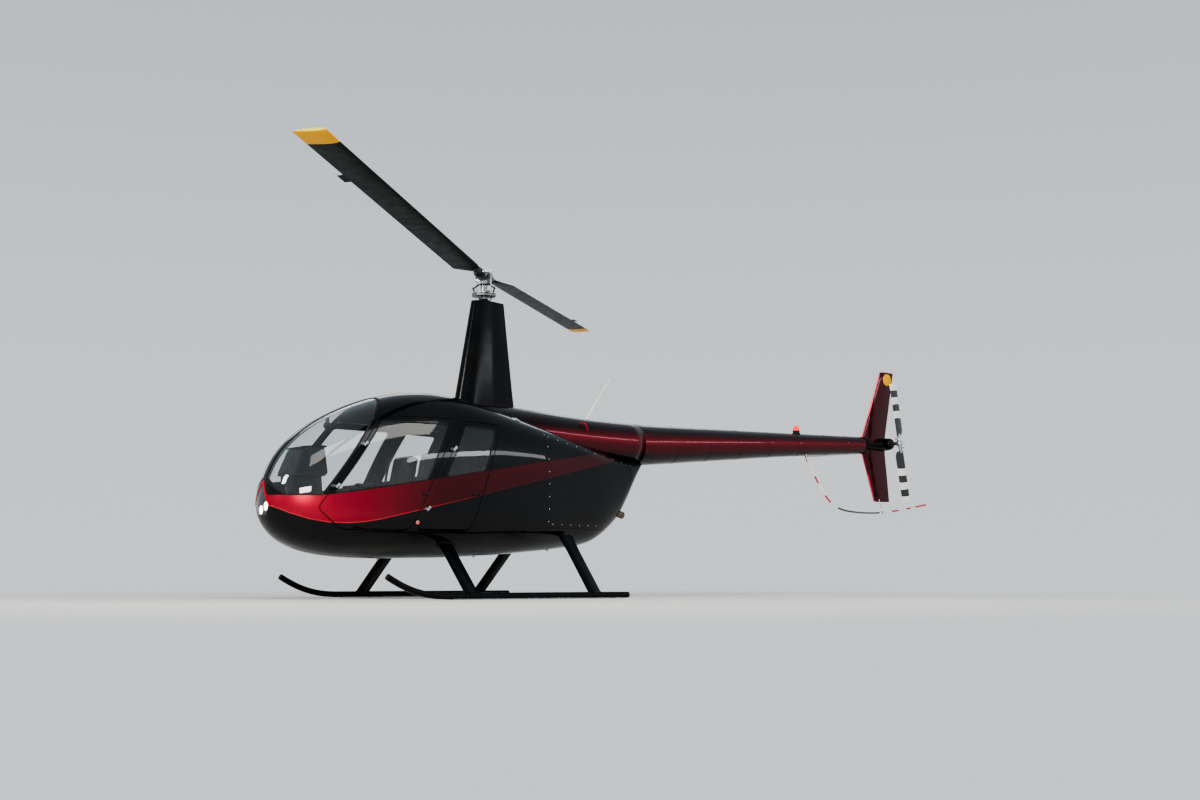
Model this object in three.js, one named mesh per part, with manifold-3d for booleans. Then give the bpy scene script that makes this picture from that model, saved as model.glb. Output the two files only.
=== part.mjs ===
// Light four-seat helicopter on skids, in millimetres, +X forward, +Y left, +Z up.
// Places are measured from the rotor mast on the floor, and the last lines move the
// origin to the middle of the whole machine's footprint.
import * as THREE from 'three';
import { mergeVertices } from 'three/addons/utils/BufferGeometryUtils.js';
import Module from 'manifold-3d';

const wasm = await Module();
wasm.setup();

// Overall sizes
const MAST_X = 1382.2;
const ROTOR_RADIUS = 5030;
const ROTOR_HEIGHT = 3280;
const TAIL_ROTOR_RADIUS = 737;
const TAIL_ROTOR_HUB = [-5893, 280, 1830];
const SKID_TRACK = 1060;
const WALL = 35;
const SEAM = 0.4;
const GLASS_THICK = 5;
const GLASS_INSET = 6;
const DOOR_GAP = 8;
const RING_POINTS = 32;
// Distances that lie outside every skin: across, ahead of the nose and above the roof, and
// how far from the middle a cut through one side starts
const OUTSIDE = 900;
const AHEAD = 2600;
const ABOVE = 2300;
const SIDE_CUT = 200;
const BOW_HALF = 20;

// Paints and materials: colour, roughness, metalness
const PAINT_BLACK = [0x0a0b0d, 0.25, 0.1];
const PAINT_MAROON = [0x4a0d16, 0.3, 0.4];
const SATIN_BLACK = [0x141414, 0.55, 0.1];
const BARE_METAL = [0xa4a7aa, 0.4, 0.9];
const CABIN_TRIM = [0x1b1c1e, 0.8, 0];
const SEAT_LEATHER = [0x1d1a19, 0.6, 0];
const CLEAR_GLASS = [0x9fb4ba, 0.05, 0];
const WHITE_PAINT = [0xe6e4df, 0.45, 0];
const RED_LENS = [0xc4121a, 0.2, 0];
const GREEN_LENS = [0x0f8a4a, 0.2, 0];

// Fuselage sections from tail to nose: place along X, half width, heights of the
// bottom, the widest line and the top, and the squareness below and above that line
const FUSELAGE = [
  { x: -1950, half: 150, bottom: 1370, widest: 1412, top: 1455, low: 2.0, high: 2.2 },
  { x: -1780, half: 225, bottom: 1080, widest: 1290, top: 1462, low: 2.2, high: 2.6 },
  { x: -1690, half: 252, bottom: 915, widest: 1240, top: 1472, low: 2.3, high: 3.0 },
  { x: -1560, half: 288, bottom: 750, widest: 1180, top: 1486, low: 2.4, high: 3.4 },
  { x: -1250, half: 368, bottom: 562, widest: 1080, top: 1552, low: 2.6, high: 4.0 },
  { x: -800, half: 465, bottom: 492, widest: 1000, top: 1672, low: 2.8, high: 4.0 },
  { x: -420, half: 545, bottom: 456, widest: 960, top: 1760, low: 2.9, high: 4.0 },
  { x: -100, half: 592, bottom: 430, widest: 945, top: 1840, low: 2.9, high: 3.8 },
  { x: 200, half: 622, bottom: 412, widest: 940, top: 1920, low: 2.8, high: 3.5 },
  { x: 450, half: 636, bottom: 400, widest: 940, top: 1982, low: 2.8, high: 3.2 },
  { x: 750, half: 640, bottom: 392, widest: 940, top: 2012, low: 2.7, high: 3.0 },
  { x: 1050, half: 636, bottom: 388, widest: 938, top: 1992, low: 2.7, high: 2.9 },
  { x: 1300, half: 622, bottom: 386, widest: 935, top: 1940, low: 2.6, high: 2.8 },
  { x: 1520, half: 596, bottom: 390, widest: 932, top: 1868, low: 2.5, high: 2.7 },
  { x: 1740, half: 553, bottom: 405, widest: 928, top: 1770, low: 2.5, high: 2.6 },
  { x: 1930, half: 496, bottom: 434, widest: 924, top: 1665, low: 2.4, high: 2.5 },
  { x: 2090, half: 430, bottom: 480, widest: 920, top: 1552, low: 2.4, high: 2.4 },
  { x: 2220, half: 357, bottom: 538, widest: 916, top: 1432, low: 2.3, high: 2.3 },
  { x: 2320, half: 280, bottom: 612, widest: 912, top: 1300, low: 2.2, high: 2.2 },
  { x: 2392, half: 195, bottom: 700, widest: 908, top: 1150, low: 2.2, high: 2.1 },
  { x: 2430, half: 112, bottom: 790, widest: 904, top: 1022, low: 2.1, high: 2.0 },
  { x: 2444, half: 35, bottom: 868, widest: 902, top: 936, low: 2.0, high: 2.0 },
];
const NOSE_START = 1500;
const NOSE_LENGTH = 944;
const CABIN_REAR = -420;
const BULKHEAD = 40;

// Round upper fairing that runs aft from the mast into the tail boom: X, centre, radius
const CROWN_END = -1952;
const CROWN = [
  { x: CROWN_END, centre: 1640, radius: 222 },
  { x: -1200, centre: 1655, radius: 232 },
  { x: -300, centre: 1700, radius: 250 },
  { x: 250, centre: 1735, radius: 235 },
  { x: 420, centre: 1770, radius: 180 },
];
const FAIRING_WALL = 20;
const CROWN_FRONT = 150;
const BOOM_WALL = 10;
const BOOM_END_WALL = 40;
const BOOM_END = -5520;
const BOOM = [
  { x: BOOM_END, centre: 1802, radius: 104 },
  { x: -4100, centre: 1740, radius: 143 },
  { x: -2170, centre: 1644, radius: 217 },
  { x: CROWN_END - SEAM, centre: 1640, radius: 222 },
];

// Side views of the openings, as X and height
const FRONT_DOOR = [[2085, 836], [1452, 1728], [672, 1728], [1190, 640], [1862, 640]];
const REAR_DOOR = [[1130, 640], [596, 1718], [150, 1700], [530, 640]];
const FRONT_WINDOW = [[1950, 968], [1447, 1676], [760, 1676], [1020, 1120]];
const REAR_WINDOW = [[830, 1150], [573, 1668], [214, 1655], [366, 1232]];
const FRONT_HINGE_LINE = { foot: [2085, 836], slope: -0.7096, out: 562 };
const REAR_HINGE_LINE = { foot: [1130, 640], slope: -0.4954, out: 655 };
const DOOR_CORNER = 60;
const WINDOW_CORNER = 45;
const WINDSCREEN_SIDE = [[2150, 900], [AHEAD, 900], [AHEAD, 2100], [1180, 2100], [1482, 1735], [2062, 918]];
const WINDSCREEN_SILL = [[BOW_HALF, 1118], [285, 952], [700, 952], [700, 2100], [BOW_HALF, 2100]];
const BELT_HEIGHT = 936;
const NOSE_BELT = [2150, 1126];
const BELLY_TOP = 545;
const NOSE_JOINT = 1740;
const SIDE_PANELS = [
  { name: 'rear_quarter', from: -380, to: 430 },
  { name: 'mid_side', from: 430, to: 1160 },
  { name: 'front_sill', from: 1160, to: NOSE_JOINT },
];
const EXTRUDED = { bevelEnabled: false, curveSegments: 3 };
const LAMP_OPENING = [[0, 1072], [-135, 872], [-95, 775], [95, 775], [135, 872]];

// Makes a closed solid from a three.js shape, whose shared corners are joined first
function solid(geometry) {
  const bare = geometry.index ? geometry.toNonIndexed() : geometry.clone();
  bare.deleteAttribute('normal');
  bare.deleteAttribute('uv');
  const joined = mergeVertices(bare, 1e-3);
  const vertProperties = new Float32Array(joined.attributes.position.array);
  const triVerts = new Uint32Array(joined.index.array);
  return new wasm.Manifold(new wasm.Mesh({ numProp: 3, vertProperties, triVerts }));
}

// Turns a solid back into a three.js geometry
function geometryOf(body) {
  const mesh = body.getMesh();
  const corners = new Float32Array((mesh.vertProperties.length / mesh.numProp) * 3);
  for (let i = 0; i * 3 < corners.length; i += 1) {
    for (let axis = 0; axis < 3; axis += 1) {
      corners[i * 3 + axis] = mesh.vertProperties[i * mesh.numProp + axis];
    }
  }
  const geometry = new THREE.BufferGeometry();
  geometry.setAttribute('position', new THREE.BufferAttribute(corners, 3));
  geometry.setIndex(new THREE.BufferAttribute(new Uint32Array(mesh.triVerts), 1));
  geometry.computeVertexNormals();
  return geometry;
}

// Skins a row of closed rings, each turning left about the row's direction, with flat ends
function loft(rings) {
  const count = rings[0].length;
  const corners = rings.flat();
  const faces = [];
  for (let k = 0; k + 1 < rings.length; k += 1) {
    for (let i = 0; i < count; i += 1) {
      const next = (i + 1) % count;
      const [a, b] = [k * count + i, k * count + next];
      const [c, d] = [a + count, b + count];
      faces.push([a, b, c], [b, d, c]);
    }
  }
  const last = (rings.length - 1) * count;
  for (const [base, flip] of [[0, true], [last, false]]) {
    const middle = new THREE.Vector3();
    for (let i = 0; i < count; i += 1) middle.add(corners[base + i]);
    corners.push(middle.divideScalar(count));
    for (let i = 0; i < count; i += 1) {
      const edge = [base + i, base + ((i + 1) % count)];
      if (flip) edge.reverse();
      faces.push([corners.length - 1, edge[0], edge[1]]);
    }
  }
  const geometry = new THREE.BufferGeometry();
  geometry.setFromPoints(corners);
  geometry.setIndex(faces.flat());
  return solid(geometry);
}

// One fuselage section as a ring, grown or shrunk by a wall thickness
function ring(station, grow = 0) {
  const points = [];
  const lead = Math.min(1, Math.max(0, (station.x - NOSE_START) / NOSE_LENGTH));
  for (let i = 0; i < RING_POINTS; i += 1) {
    const turn = -Math.PI / 2 + (2 * Math.PI * i) / RING_POINTS;
    const [c, s] = [Math.cos(turn), Math.sin(turn)];
    const power = 2 / (s < 0 ? station.low : station.high);
    const rise = (s < 0 ? station.widest - station.bottom : station.top - station.widest) + grow;
    points.push(new THREE.Vector3(
      station.x + grow * lead,
      Math.sign(c) * (station.half + grow) * Math.abs(c) ** power,
      station.widest + Math.sign(s) * rise * Math.abs(s) ** power,
    ));
  }
  return points;
}

// Fuselage section at any place, between two rows of the table
function stationAt(x) {
  const k = Math.max(1, FUSELAGE.findIndex((row) => row.x >= x));
  const [a, b] = [FUSELAGE[k - 1], FUSELAGE[k]];
  const share = (x - a.x) / (b.x - a.x);
  const row = {};
  for (const key of Object.keys(a)) row[key] = a[key] + share * (b[key] - a[key]);
  return row;
}

// Half width of the fuselage skin at a place and height
function skinHalf(x, z) {
  const row = stationAt(x);
  const low = z < row.widest;
  const reach = low ? row.widest - row.bottom : row.top - row.widest;
  const power = low ? row.low : row.high;
  const share = Math.min(1, Math.abs(z - row.widest) / reach);
  return row.half * (1 - share ** power) ** (1 / power);
}

// Fuselage solid between two places, its skin moved by grow
function fuselage(grow, from = -Infinity, to = Infinity) {
  const rows = FUSELAGE.filter((row) => row.x > from && row.x < to);
  if (Number.isFinite(from)) rows.unshift(stationAt(from));
  if (Number.isFinite(to)) rows.push(stationAt(to));
  return loft(rows.map((row) => ring(row, grow)).filter((points) => {
    const wide = Math.max(...points.map((p) => p.y));
    return wide > 5;
  }));
}

// Round solid along X from rows of centre height and radius
function roundLoft(rows, grow = 0, count = 28) {
  return loft(rows.map((row) => {
    const points = [];
    for (let i = 0; i < count; i += 1) {
      const turn = (2 * Math.PI * i) / count;
      const reach = row.radius + grow;
      points.push(new THREE.Vector3(row.x, reach * Math.cos(turn), row.centre + reach * Math.sin(turn)));
    }
    return points;
  }));
}

// Moves each side of a convex outline outward by a distance
function offset(points, distance) {
  const area = points.reduce((sum, [x, y], i) => {
    const [u, v] = points[(i + 1) % points.length];
    return sum + x * v - u * y;
  }, 0);
  const side = Math.sign(area);
  const lines = points.map(([x, y], i) => {
    const [u, v] = points[(i + 1) % points.length];
    const length = Math.hypot(u - x, v - y);
    const [nx, ny] = [(side * (v - y)) / length, (side * (x - u)) / length];
    return { nx, ny, reach: nx * x + ny * y + distance };
  });
  return points.map((point, i) => {
    const a = lines[(i + lines.length - 1) % lines.length];
    const b = lines[i];
    const det = a.nx * b.ny - a.ny * b.nx;
    return [(a.reach * b.ny - b.reach * a.ny) / det, (b.reach * a.nx - a.reach * b.nx) / det];
  });
}

// Outline with its corners rounded
function outline(points, corner = 0) {
  const shape = new THREE.Shape();
  points.forEach(([x, y], i) => {
    const [px, py] = points[(i + points.length - 1) % points.length];
    const [nx, ny] = points[(i + 1) % points.length];
    const [before, after] = [Math.hypot(px - x, py - y), Math.hypot(nx - x, ny - y)];
    const cut = Math.min(corner, before / 3, after / 3);
    const start = [x + ((px - x) * cut) / before, y + ((py - y) * cut) / before];
    const end = [x + ((nx - x) * cut) / after, y + ((ny - y) * cut) / after];
    if (i === 0) shape.moveTo(...start);
    else shape.lineTo(...start);
    if (cut > 0) shape.quadraticCurveTo(x, y, ...end);
  });
  shape.closePath();
  return shape;
}

// Straight block with its outline in X and height, between two places across
function sidePrism(points, from, to, corner = 0) {
  const shape = outline(points, corner);
  const geometry = new THREE.ExtrudeGeometry(shape, { ...EXTRUDED, depth: to - from });
  geometry.rotateX(Math.PI / 2);
  geometry.translate(0, to, 0);
  return solid(geometry);
}

// Straight block with its outline across and in height, between two places along
function frontPrism(points, from, to, corner = 0) {
  const shape = outline(points, corner);
  const geometry = new THREE.ExtrudeGeometry(shape, { ...EXTRUDED, depth: to - from });
  geometry.rotateX(Math.PI / 2);
  geometry.rotateZ(Math.PI / 2);
  geometry.translate(from, 0, 0);
  return solid(geometry);
}

// Box between two corners
function box(low, high) {
  const size = high.map((v, i) => v - low[i]);
  const geometry = new THREE.BoxGeometry(...size);
  geometry.translate(...low.map((v, i) => v + size[i] / 2));
  return solid(geometry);
}

// Round bar or cone between two points
function bar(from, to, radius, endRadius = radius, sides = 16) {
  const start = new THREE.Vector3(...from);
  const way = new THREE.Vector3(...to).sub(start);
  const geometry = new THREE.CylinderGeometry(endRadius, radius, way.length(), sides);
  const up = new THREE.Vector3(0, 1, 0);
  geometry.applyQuaternion(new THREE.Quaternion().setFromUnitVectors(up, way.clone().normalize()));
  geometry.translate(...start.addScaledVector(way, 0.5).toArray());
  return solid(geometry);
}

// Round tube along a curve
function tubeAlong(path, radius, steps, sides) {
  const section = new THREE.Shape();
  for (let i = 0; i < sides; i += 1) {
    const turn = (2 * Math.PI * i) / sides;
    const corner = [radius * Math.cos(turn), radius * Math.sin(turn)];
    if (i === 0) section.moveTo(...corner);
    else section.lineTo(...corner);
  }
  section.closePath();
  return solid(new THREE.ExtrudeGeometry(section, { steps, extrudePath: path, bevelEnabled: false }));
}

// Round tube along a smooth line through points
function tube(points, radius, steps, sides) {
  const places = points.map((p) => new THREE.Vector3(...p));
  return tubeAlong(new THREE.CatmullRomCurve3(places, false, 'centripetal'), radius, steps, sides);
}

// Streamlined section from nose to tail of a blade, fin or strut, as shares of its chord
const WING_SECTION = [[0, 0], [0.025, 0.26], [0.12, 0.46], [0.3, 0.5], [0.6, 0.36], [1, 0.06]];

// Blade, fin or strut: rows with the place of the leading edge, the chord and its
// direction, the thickness and the direction of the thickness
function wing(rows) {
  const rings = rows.map(({ nose, chord, thick, along, across }) => {
    const upper = WING_SECTION.map(([s, t]) => [s, t]);
    const lower = WING_SECTION.slice(1).map(([s, t]) => [s, -t]).reverse();
    return [...upper, ...lower].map(([s, t]) => new THREE.Vector3(...nose)
      .addScaledVector(new THREE.Vector3(...along), s * chord)
      .addScaledVector(new THREE.Vector3(...across), t * thick));
  });
  const way = new THREE.Vector3().subVectors(rings[1][0], rings[0][0]);
  const turn = new THREE.Vector3(...rows[0].along).cross(new THREE.Vector3(...rows[0].across));
  if (turn.dot(way) > 0) rings.forEach((points) => points.reverse());
  return loft(rings);
}

// Mirror image of a solid on the other side of the machine
function mirrored(body) {
  return body.mirror([0, 1, 0]);
}

function joined(parts) {
  return parts.reduce((sum, part) => sum.add(part));
}

// Assembly and its list of pieces
const machine = new THREE.Group();
machine.position.x = MAST_X;

function add(name, body, [color, roughness, metalness]) {
  const material = new THREE.MeshStandardMaterial({ color, roughness, metalness });
  const mesh = new THREE.Mesh(geometryOf(body), material);
  mesh.name = name;
  machine.add(mesh);
}

function addPair(name, body, paint, rightPaint = paint) {
  add(`${name}_left`, body, paint);
  add(`${name}_right`, mirrored(body), rightPaint);
}

// Skins
const outer = fuselage(0);
const outerClear = fuselage(SEAM);
const crownClear = roundLoft(CROWN, SEAM);
const cabinSpace = fuselage(-WALL, CABIN_REAR + BULKHEAD);
const cabinFit = fuselage(-WALL - SEAM, CABIN_REAR + BULKHEAD + SEAM);

// Hinges: the fixed half sits below the door's half on one pin line, clear of the skin
const HINGE_RADIUS = 9;
const HINGE_HALF = 24;
const HINGE_REACH = 27;

function hingeHalf(line, height, side, low) {
  const [footX, footZ] = line.foot;
  const x = footX + line.slope * (height - footZ);
  const depth = line.out - skinHalf(x - side * HINGE_REACH / 2, height);
  const flat = HINGE_RADIUS - 2;
  const plate = [
    [0, flat], [-side * 2 * flat, flat], [-side * HINGE_REACH, -depth + 3],
    [-side * HINGE_REACH, -depth - 14], [-side * HINGE_RADIUS, -depth - 14],
    [-side * HINGE_RADIUS, -flat], [0, -flat],
  ];
  const shape = outline(side > 0 ? plate : plate.reverse());
  const leaf = new THREE.ExtrudeGeometry(shape, { depth: HINGE_HALF, bevelEnabled: false });
  const barrel = new THREE.CylinderGeometry(HINGE_RADIUS, HINGE_RADIUS, HINGE_HALF, 12);
  barrel.rotateX(Math.PI / 2);
  barrel.translate(0, 0, HINGE_HALF / 2);
  const body = solid(leaf).add(solid(barrel)).translate([0, 0, low]);
  const tilt = (Math.atan(line.slope) * 180) / Math.PI;
  return body.rotate([0, tilt, 0]).translate([x, line.out, height]);
}

function doorHinges(line, heights, side) {
  const low = side > 0 ? 1 : -HINGE_HALF;
  return joined(heights.map((height) => hingeHalf(line, height, side, low)));
}

const FRONT_HINGE_HEIGHTS = [1040, 1440];
const REAR_HINGE_HEIGHTS = [850, 1430];
const fixedHinges = doorHinges(FRONT_HINGE_LINE, FRONT_HINGE_HEIGHTS, -1)
  .add(doorHinges(REAR_HINGE_LINE, REAR_HINGE_HEIGHTS, -1));

// Openings in one side of the cabin
const SCREEN_REAR = 1000;
const LAMP_REAR = 2200;
const LAMP_CORNER = 30;
const doorHoles = sidePrism(FRONT_DOOR, SIDE_CUT, OUTSIDE, DOOR_CORNER)
  .add(sidePrism(REAR_DOOR, SIDE_CUT, OUTSIDE, DOOR_CORNER));
const screenHole = sidePrism(WINDSCREEN_SIDE, BOW_HALF, OUTSIDE)
  .intersect(frontPrism(WINDSCREEN_SILL, SCREEN_REAR, AHEAD));
const lampHole = frontPrism(LAMP_OPENING, LAMP_REAR, AHEAD, LAMP_CORNER);
let cabin = outer.trimByPlane([1, 0, 0], CABIN_REAR).subtract(cabinSpace);
for (const hole of [doorHoles, screenHole]) cabin = cabin.subtract(hole).subtract(mirrored(hole));
cabin = cabin.subtract(lampHole).add(fixedHinges).add(mirrored(fixedHinges));

// Cabin: the roof with its posts and centre bow over the lower panels, which are the rear
// bulkhead, the belly pan, three panels along each side under the doors, and the nose shell
function upperRegion(gap) {
  const [noseX, noseZ] = NOSE_BELT;
  const low = BELT_HEIGHT + gap;
  const rear = CABIN_REAR - 100;
  return sidePrism([
    [rear, low], [noseX, low], [noseX, noseZ + gap], [AHEAD, noseZ + gap], [AHEAD, ABOVE], [rear, ABOVE],
  ], -OUTSIDE, OUTSIDE);
}
add('cabin_roof', cabin.intersect(upperRegion(SEAM)), PAINT_BLACK);
const lower = cabin.subtract(upperRegion(0));
const bulkheadFace = CABIN_REAR + BULKHEAD;
const middle = lower.trimByPlane([1, 0, 0], bulkheadFace + SEAM / 2)
  .trimByPlane([-1, 0, 0], -NOSE_JOINT + SEAM / 2);
const sides = middle.trimByPlane([0, 0, 1], BELLY_TOP + SEAM / 2);
add('rear_bulkhead', lower.trimByPlane([-1, 0, 0], -bulkheadFace + SEAM / 2), PAINT_BLACK);
add('belly_pan', middle.trimByPlane([0, 0, -1], -BELLY_TOP + SEAM / 2), PAINT_BLACK);
for (const { name, from, to } of SIDE_PANELS) {
  const panel = sides.trimByPlane([1, 0, 0], from + SEAM / 2).trimByPlane([-1, 0, 0], -to + SEAM / 2);
  add(`${name}_left`, panel.trimByPlane([0, 1, 0], 0), PAINT_BLACK);
  add(`${name}_right`, panel.trimByPlane([0, -1, 0], 0), PAINT_BLACK);
}
add('nose_shell', lower.trimByPlane([1, 0, 0], NOSE_JOINT + SEAM / 2), PAINT_BLACK);

// Windscreen: two clear shells each side of the bow
const glassSkin = fuselage(-GLASS_INSET).subtract(fuselage(-GLASS_INSET - GLASS_THICK));
const screen = sidePrism(offset(WINDSCREEN_SIDE.slice(1), -SEAM), BOW_HALF + SEAM, OUTSIDE)
  .intersect(frontPrism(offset(WINDSCREEN_SILL, -SEAM), SCREEN_REAR, AHEAD));
addPair('windscreen', glassSkin.intersect(screen), CLEAR_GLASS);

// Doors: a curved panel with its window cut, its pane, and its hinge halves. The sill is
// the panel's lower edge, high enough to clear the body as the slanted hinge lets it dip
const DOORS = [
  {
    name: 'front', hole: FRONT_DOOR, window: FRONT_WINDOW, sill: 654,
    line: FRONT_HINGE_LINE, hinges: FRONT_HINGE_HEIGHTS,
  },
  {
    name: 'rear', hole: REAR_DOOR, window: REAR_WINDOW, sill: 664,
    line: REAR_HINGE_LINE, hinges: REAR_HINGE_HEIGHTS,
  },
];
for (const { name, hole, window, sill, line, hinges } of DOORS) {
  const wall = outer.subtract(cabinSpace);
  const leaf = offset(hole, -DOOR_GAP).map(([x, z]) => [x, Math.max(z, sill)]);
  const panel = wall.intersect(sidePrism(leaf, SIDE_CUT, OUTSIDE, DOOR_CORNER - DOOR_GAP))
    .subtract(sidePrism(window, SIDE_CUT, OUTSIDE, WINDOW_CORNER))
    .add(doorHinges(line, hinges, 1));
  const pane = glassSkin.intersect(sidePrism(offset(window, -SEAM), SIDE_CUT, OUTSIDE, WINDOW_CORNER));
  addPair(`${name}_door`, panel, PAINT_BLACK);
  addPair(`${name}_door_glass`, pane, CLEAR_GLASS);
}

// Cabin floor with the boxes under the seats
const FLOOR_TOP = 560;
const FLOOR_THICK = 40;
const FLOOR_FRONT = 2200;
const SEAT_BOX_HALF = 515;
const FRONT_SEAT_BOX = { x: [800, 1330], top: 800 };
const REAR_SEAT_BOX = { x: [-420, 330], top: 850 };
const floor = joined([
  box([CABIN_REAR, -OUTSIDE, FLOOR_TOP - FLOOR_THICK], [FLOOR_FRONT, OUTSIDE, FLOOR_TOP]),
  ...[FRONT_SEAT_BOX, REAR_SEAT_BOX].map(({ x: [from, to], top }) => (
    box([from, -SEAT_BOX_HALF, FLOOR_TOP - FLOOR_THICK / 2], [to, SEAT_BOX_HALF, top]))),
]);
add('cabin_floor', floor.intersect(cabinFit), CABIN_TRIM);

// Seats: side outline of cushion and back, X and height from the front of the box top
const SEAT_SIDE = [[0, 0], [0, 95], [-70, 125], [-410, 105], [-520, 640], [-620, 620], [-530, 0]];
const SEAT_WIDTH = 430;
const SEAT_PLACE = 262;
const SEAT_SETBACK = 10;
const SEAT_CORNER = 40;
for (const [row, boxTop] of [['front', FRONT_SEAT_BOX], ['rear', REAR_SEAT_BOX]]) {
  const reach = boxTop.x[1] - SEAT_SETBACK;
  const side = SEAT_SIDE.map(([x, z]) => [reach + x, boxTop.top + SEAM + z]);
  const seat = sidePrism(side, SEAT_PLACE - SEAT_WIDTH / 2, SEAT_PLACE + SEAT_WIDTH / 2, SEAT_CORNER);
  addPair(`${row}_seat`, seat, SEAT_LEATHER);
}

// Instrument console on its pedestal, and the centre control stick with its cross bar
const CONSOLE_SIDE = [
  [1830, 560], [1880, 1150], [1850, 1180], [1890, 1420], [2080, 1405], [2180, 1180], [2170, 560],
];
const CONSOLE_HALF = 190;
const PEDESTAL = { half: 120, top: 1150, from: 1700, to: FLOOR_FRONT };
const CONSOLE_CORNER = 20;
const consoleSide = CONSOLE_SIDE.map(([x, z]) => [x, Math.max(z, FLOOR_TOP + SEAM)]);
const besidePedestal = box([PEDESTAL.from, PEDESTAL.half, 0], [PEDESTAL.to, OUTSIDE, PEDESTAL.top]);
const consoleBody = sidePrism(consoleSide, -CONSOLE_HALF, CONSOLE_HALF, CONSOLE_CORNER)
  .subtract(besidePedestal)
  .subtract(mirrored(besidePedestal))
  .intersect(cabinFit);
add('console', consoleBody, CABIN_TRIM);
const STICK = { footX: 1480, topX: 1420, top: 1080, radius: 19, foot: FLOOR_TOP + 3 };
const STICK_BAR = { half: 300, radius: 13 };
const STICK_GRIP = { y: 290, topX: 1420, top: 1090, footX: 1405, foot: 960, radius: 17 };
const stickGrip = bar(
  [STICK_GRIP.topX, STICK_GRIP.y, STICK_GRIP.top],
  [STICK_GRIP.footX, STICK_GRIP.y, STICK_GRIP.foot],
  STICK_GRIP.radius, STICK_GRIP.radius, 8,
);
const stick = joined([
  bar([STICK.footX, 0, STICK.foot], [STICK.topX, 0, STICK.top], STICK.radius, STICK.radius, 10),
  bar(
    [STICK.topX, -STICK_BAR.half, STICK.top], [STICK.topX, STICK_BAR.half, STICK.top],
    STICK_BAR.radius, STICK_BAR.radius, 8,
  ),
  stickGrip,
  mirrored(stickGrip),
]);
add('control_stick', stick, SATIN_BLACK);

// Landing lamps behind the opening in the nose
const LAMP_PLATE = { low: [2284, -400, 600], high: [2300, 400, 1085] };
const LAMPS = [{ y: -48, z: 826 }, { y: 48, z: 858 }];
const LAMP = { rear: 2290, front: 2412, neck: 34, mouth: 42 };
const lampPlate = box(LAMP_PLATE.low, LAMP_PLATE.high).intersect(cabinFit);
const lamps = joined(LAMPS.map(({ y, z }) => (
  bar([LAMP.rear, y, z], [LAMP.front, y, z], LAMP.neck, LAMP.mouth, 14))));
add('landing_lamps', lampPlate.add(lamps), BARE_METAL);

// Engine bay: side cowls, belly cowl and rear deck make one skin behind the cabin
const COWL_WALL = 28;
const COWL_FLOOR = 700;
const COWL_REAR = -1990;
const BAY_REAR = -1700;
const DECK_SIDE = [[COWL_REAR, 1405], [COWL_REAR, 2100], [-400, 2100], [-400, 1690]];
const cowlSkin = outer.trimByPlane([-1, 0, 0], -CABIN_REAR + SEAM)
  .subtract(fuselage(-COWL_WALL, BAY_REAR, CABIN_REAR + BULKHEAD));
const deckRegion = sidePrism(DECK_SIDE, -OUTSIDE, OUTSIDE);
const deckKeep = sidePrism(offset(DECK_SIDE, -SEAM), -OUTSIDE, OUTSIDE);
const underFloor = (gap) => box([COWL_REAR, -OUTSIDE, 0], [0, OUTSIDE, COWL_FLOOR + gap]);
add('deck_cowl', cowlSkin.intersect(deckKeep), PAINT_BLACK);
add('belly_cowl', cowlSkin.intersect(underFloor(0)), PAINT_BLACK);
const sideCowls = cowlSkin.subtract(deckRegion).subtract(underFloor(SEAM));
addPair('side_cowl', sideCowls.trimByPlane([0, 1, 0], SEAM / 2), PAINT_BLACK);
const ENGINE = { low: [-980, -275, 668], high: [CABIN_REAR - SEAM, 275, 990] };
add('engine', box(ENGINE.low, ENGINE.high), BARE_METAL);
const crownRows = [{ ...CROWN[0], x: CROWN_END - FAIRING_WALL }, ...CROWN.slice(1)];
const crownSpace = roundLoft(crownRows, -FAIRING_WALL).trimByPlane([-1, 0, 0], -CROWN_FRONT);
const crown = roundLoft(CROWN).subtract(outerClear).subtract(crownSpace);
add('upper_fairing', crown, PAINT_MAROON);
const EXHAUST = { from: [-1500, 170, 905], to: [-1672, 170, 858], radius: 38 };
add('exhaust', bar(EXHAUST.from, EXHAUST.to, EXHAUST.radius).subtract(outerClear), BARE_METAL);

// Mast fairing: leading edge, chord and thickness at its foot and its top
const FAIRING_TOP = 3020;
const MAST_FAIRING = [
  { z: 1780, nose: 372, chord: 780, thick: 250 },
  { z: 2050, nose: 318, chord: 678, thick: 230 },
  { z: FAIRING_TOP, nose: 142, chord: 384, thick: 150 },
];
const fairing = wing(MAST_FAIRING.map(({ z, nose, chord, thick }) => (
  { nose: [nose, 0, z], chord, thick, along: [-1, 0, 0], across: [0, 1, 0] })));
add('mast_fairing', fairing.subtract(outerClear).subtract(crownClear), PAINT_BLACK);
const MAST_RADIUS = 34;
const MAST_TOP = 3200;
const TILT_RING = { low: 3062, high: 3087, radius: 125 };
const mast = joined([
  bar([0, 0, FAIRING_TOP + SEAM], [0, 0, MAST_TOP], MAST_RADIUS, MAST_RADIUS, 20),
  bar([0, 0, TILT_RING.low], [0, 0, TILT_RING.high], TILT_RING.radius, TILT_RING.radius, 24),
]);
add('mast', mast, BARE_METAL);

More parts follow.
